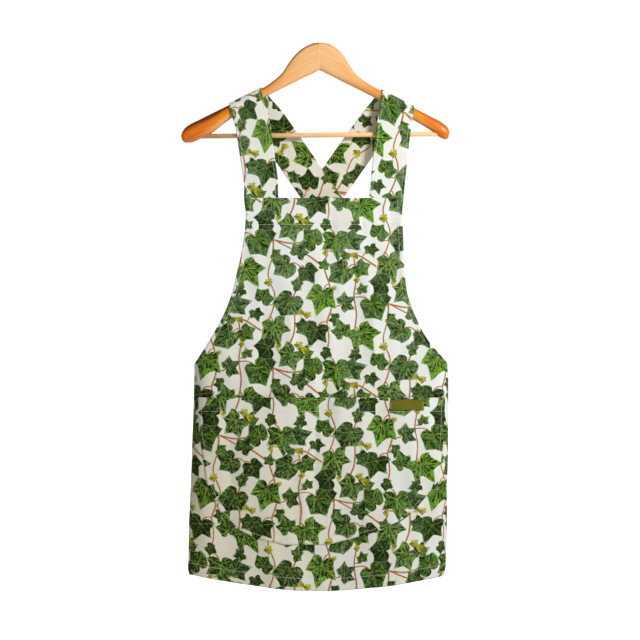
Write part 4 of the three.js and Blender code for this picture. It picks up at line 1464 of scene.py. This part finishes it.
thread = cotton_thread()
bib_foot = bib_top - BIB_HEM
bib_half = {side: float(front_place(side, body_edge(side, bib_foot), bib_foot)) for side in (-1, 1)}
bib_line = np.arange(-bib_half[-1] + 2, bib_half[1] - 2, 4.0)
seam("seam_bib_hem", places(bib_line, bib_foot), *body_sheet)
foot_end = {side: abs(float(back_inner_edge(side)[0][-1])) for side in (-1, 1)}
foot_line = np.arange(-foot_end[-1] + 3, foot_end[1] - 3, 4.0)
seam("seam_foot_hem", places(foot_line, side_end + FOOT_HEM), *body_sheet)
for side, name in SIDE_NAME.items():
    levels = np.arange(bib_top - 2, arm_corner + 4, -3.0)
    edge = front_place(side, body_edge(side, levels), levels) - ARMHOLE_HEM * ARMHOLE_SLANT
    seam(f"seam_armhole_{name}", places(side * edge, levels), *body_sheet)
    inner_u, inner_v = back_inner_edge(side)
    seam(f"seam_back_{name}", places(inner_u - side * BACK_HEM, inner_v)[3:-3], *body_sheet)
    path = paths[side]
    run = np.arange(path.front[0] + 3, path.back[0] - 3, 3.0)
    for edge in (-1, 1):
        row = places(edge * (STRAP_WIDTH / 2 - STRAP_STITCH), run)
        edge_name = "outer" if edge == side else "inner"
        seam(f"seam_strap_{name}_{edge_name}", row, path.surface, strap_raise, STRAP_THICK)
round_edge = (pocket_outline + inward * POCKET_EDGE_STITCH)[4: -len(top) - 4]
seam("seam_pocket_edge", round_edge, *pocket_sheet)
band = np.arange(POCKET_SHIFT - POCKET_WIDTH / 2 + 2, POCKET_SHIFT + POCKET_WIDTH / 2 - 2, 4.0)
seam("seam_pocket_band", places(band, pocket_top - POCKET_HEM), *pocket_sheet)
fall = np.linspace(0.01, 0.97, 60)
seam("seam_pocket_middle", places(pocket_seam_at(fall), pocket_top - fall * POCKET_DEPTH), *pocket_sheet)
rise = np.linspace(-0.46, 0.46, 12) * LABEL_HEIGHT + label_middle[1]
for end, name in SIDE_NAME.items():
    x = label_middle[0] + end * (LABEL_WIDTH / 2 - LABEL_STITCH)
    seam(f"seam_label_{name}", places(x, rise), label_cloth, label_raise, LABEL_CLOTH)


# Floor: one wide sheet of plain white paper, well below the hem.
# It glows behind the apron, so that it runs into the bright wall there.
FLOOR_LEVEL = -1150
FLOOR_HALF = 30
FLOOR_GLOW = 0.9
GLOW_FROM = (0.3, 0.9)
PAPER_GREY = (0.9, 0.9, 0.9, 1)
PAPER_WHITE = (0.93, 0.93, 0.93, 1)

paper = Finish("white_paper", "", Roughness=0.95, Emission_Strength=FLOOR_GLOW)
place = paper.node("ShaderNodeTexCoord", out="Object")
paper.feed("Emission Color", paper.mix(place.split()[1].step(*GLOW_FROM), (0, 0, 0, 1), (1, 1, 1, 1)))
paper.feed("Base Color", paper.mix(paper.noise(place, 3), PAPER_GREY, PAPER_WHITE))
floor_mesh = bpy.data.meshes.new("floor")
corners = [(x, y, FLOOR_LEVEL / 1000)
           for x, y in places([-1, 1, 1, -1], [-1, -1, 1, 1]) * FLOOR_HALF]
floor_mesh.from_pydata(corners, [], [(0, 1, 2, 3)])
floor_mesh.materials.append(paper.material)
floor = bpy.data.objects.new("floor", floor_mesh)
bpy.context.collection.objects.link(floor)


# Light: a white studio, brightest high on the right in front of the apron and behind it, dimmest low
# on the left. The camera sees its walls pale from any side. One soft lamp on the right models the folds.
LIGHT_WAY = (0.55, -0.62, 0.56)
ROOM_DIM = 0.1
ROOM_BRIGHT = 0.3
BACKDROP = 1.08
WALL_FROM = (0.3, 0.7)
WALL_PALE = 0.72
ROOM_WARM = (1, 0.94, 0.8, 1)
LAMP_COOL = (0.96, 0.99, 1)
LAMP_PLACE = (0.88, -1.08, 0.3)
LAMP_AIM = (0.08, 0, -0.3)
LAMP_SIZE = 0.4
LAMP_POWER = 20

world = bpy.data.worlds.new("white_studio")
world.use_nodes = True
room = Tree(world.node_tree)
way = room.node("ShaderNodeTexCoord", out="Generated")
to_lamp = {0: way, 1: LIGHT_WAY}
facing_lamp = room.node("ShaderNodeVectorMath", {"operation": "DOT_PRODUCT"}, to_lamp, out="Value")
glow = ROOM_DIM + facing_lamp.step(-0.3, 1) * ROOM_BRIGHT
behind = way.split()[1].step(*WALL_FROM)
seen = room.node("ShaderNodeLightPath", out="Is Camera Ray")
strength = glow + behind * (BACKDROP - glow) + seen * (1 - behind) * (WALL_PALE - glow)
tint = room.mix(behind.maths("MAXIMUM", seen), ROOM_WARM, (1, 1, 1, 1))
background = world.node_tree.nodes["Background"]
room.join(strength, background.inputs["Strength"])
room.join(tint, background.inputs["Color"])
bpy.context.scene.world = world

lamp_data = bpy.data.lights.new("key_lamp", "AREA")
lamp_data.shape = "DISK"
lamp_data.size = LAMP_SIZE
lamp_data.energy = LAMP_POWER
lamp_data.color = LAMP_COOL
lamp = bpy.data.objects.new("key_lamp", lamp_data)
lamp.location = LAMP_PLACE
lamp.rotation_euler = (Vector(LAMP_AIM) - Vector(LAMP_PLACE)).to_track_quat("-Z", "Y").to_euler()
bpy.context.collection.objects.link(lamp)
bpy.context.scene.view_settings.view_transform = "Standard"
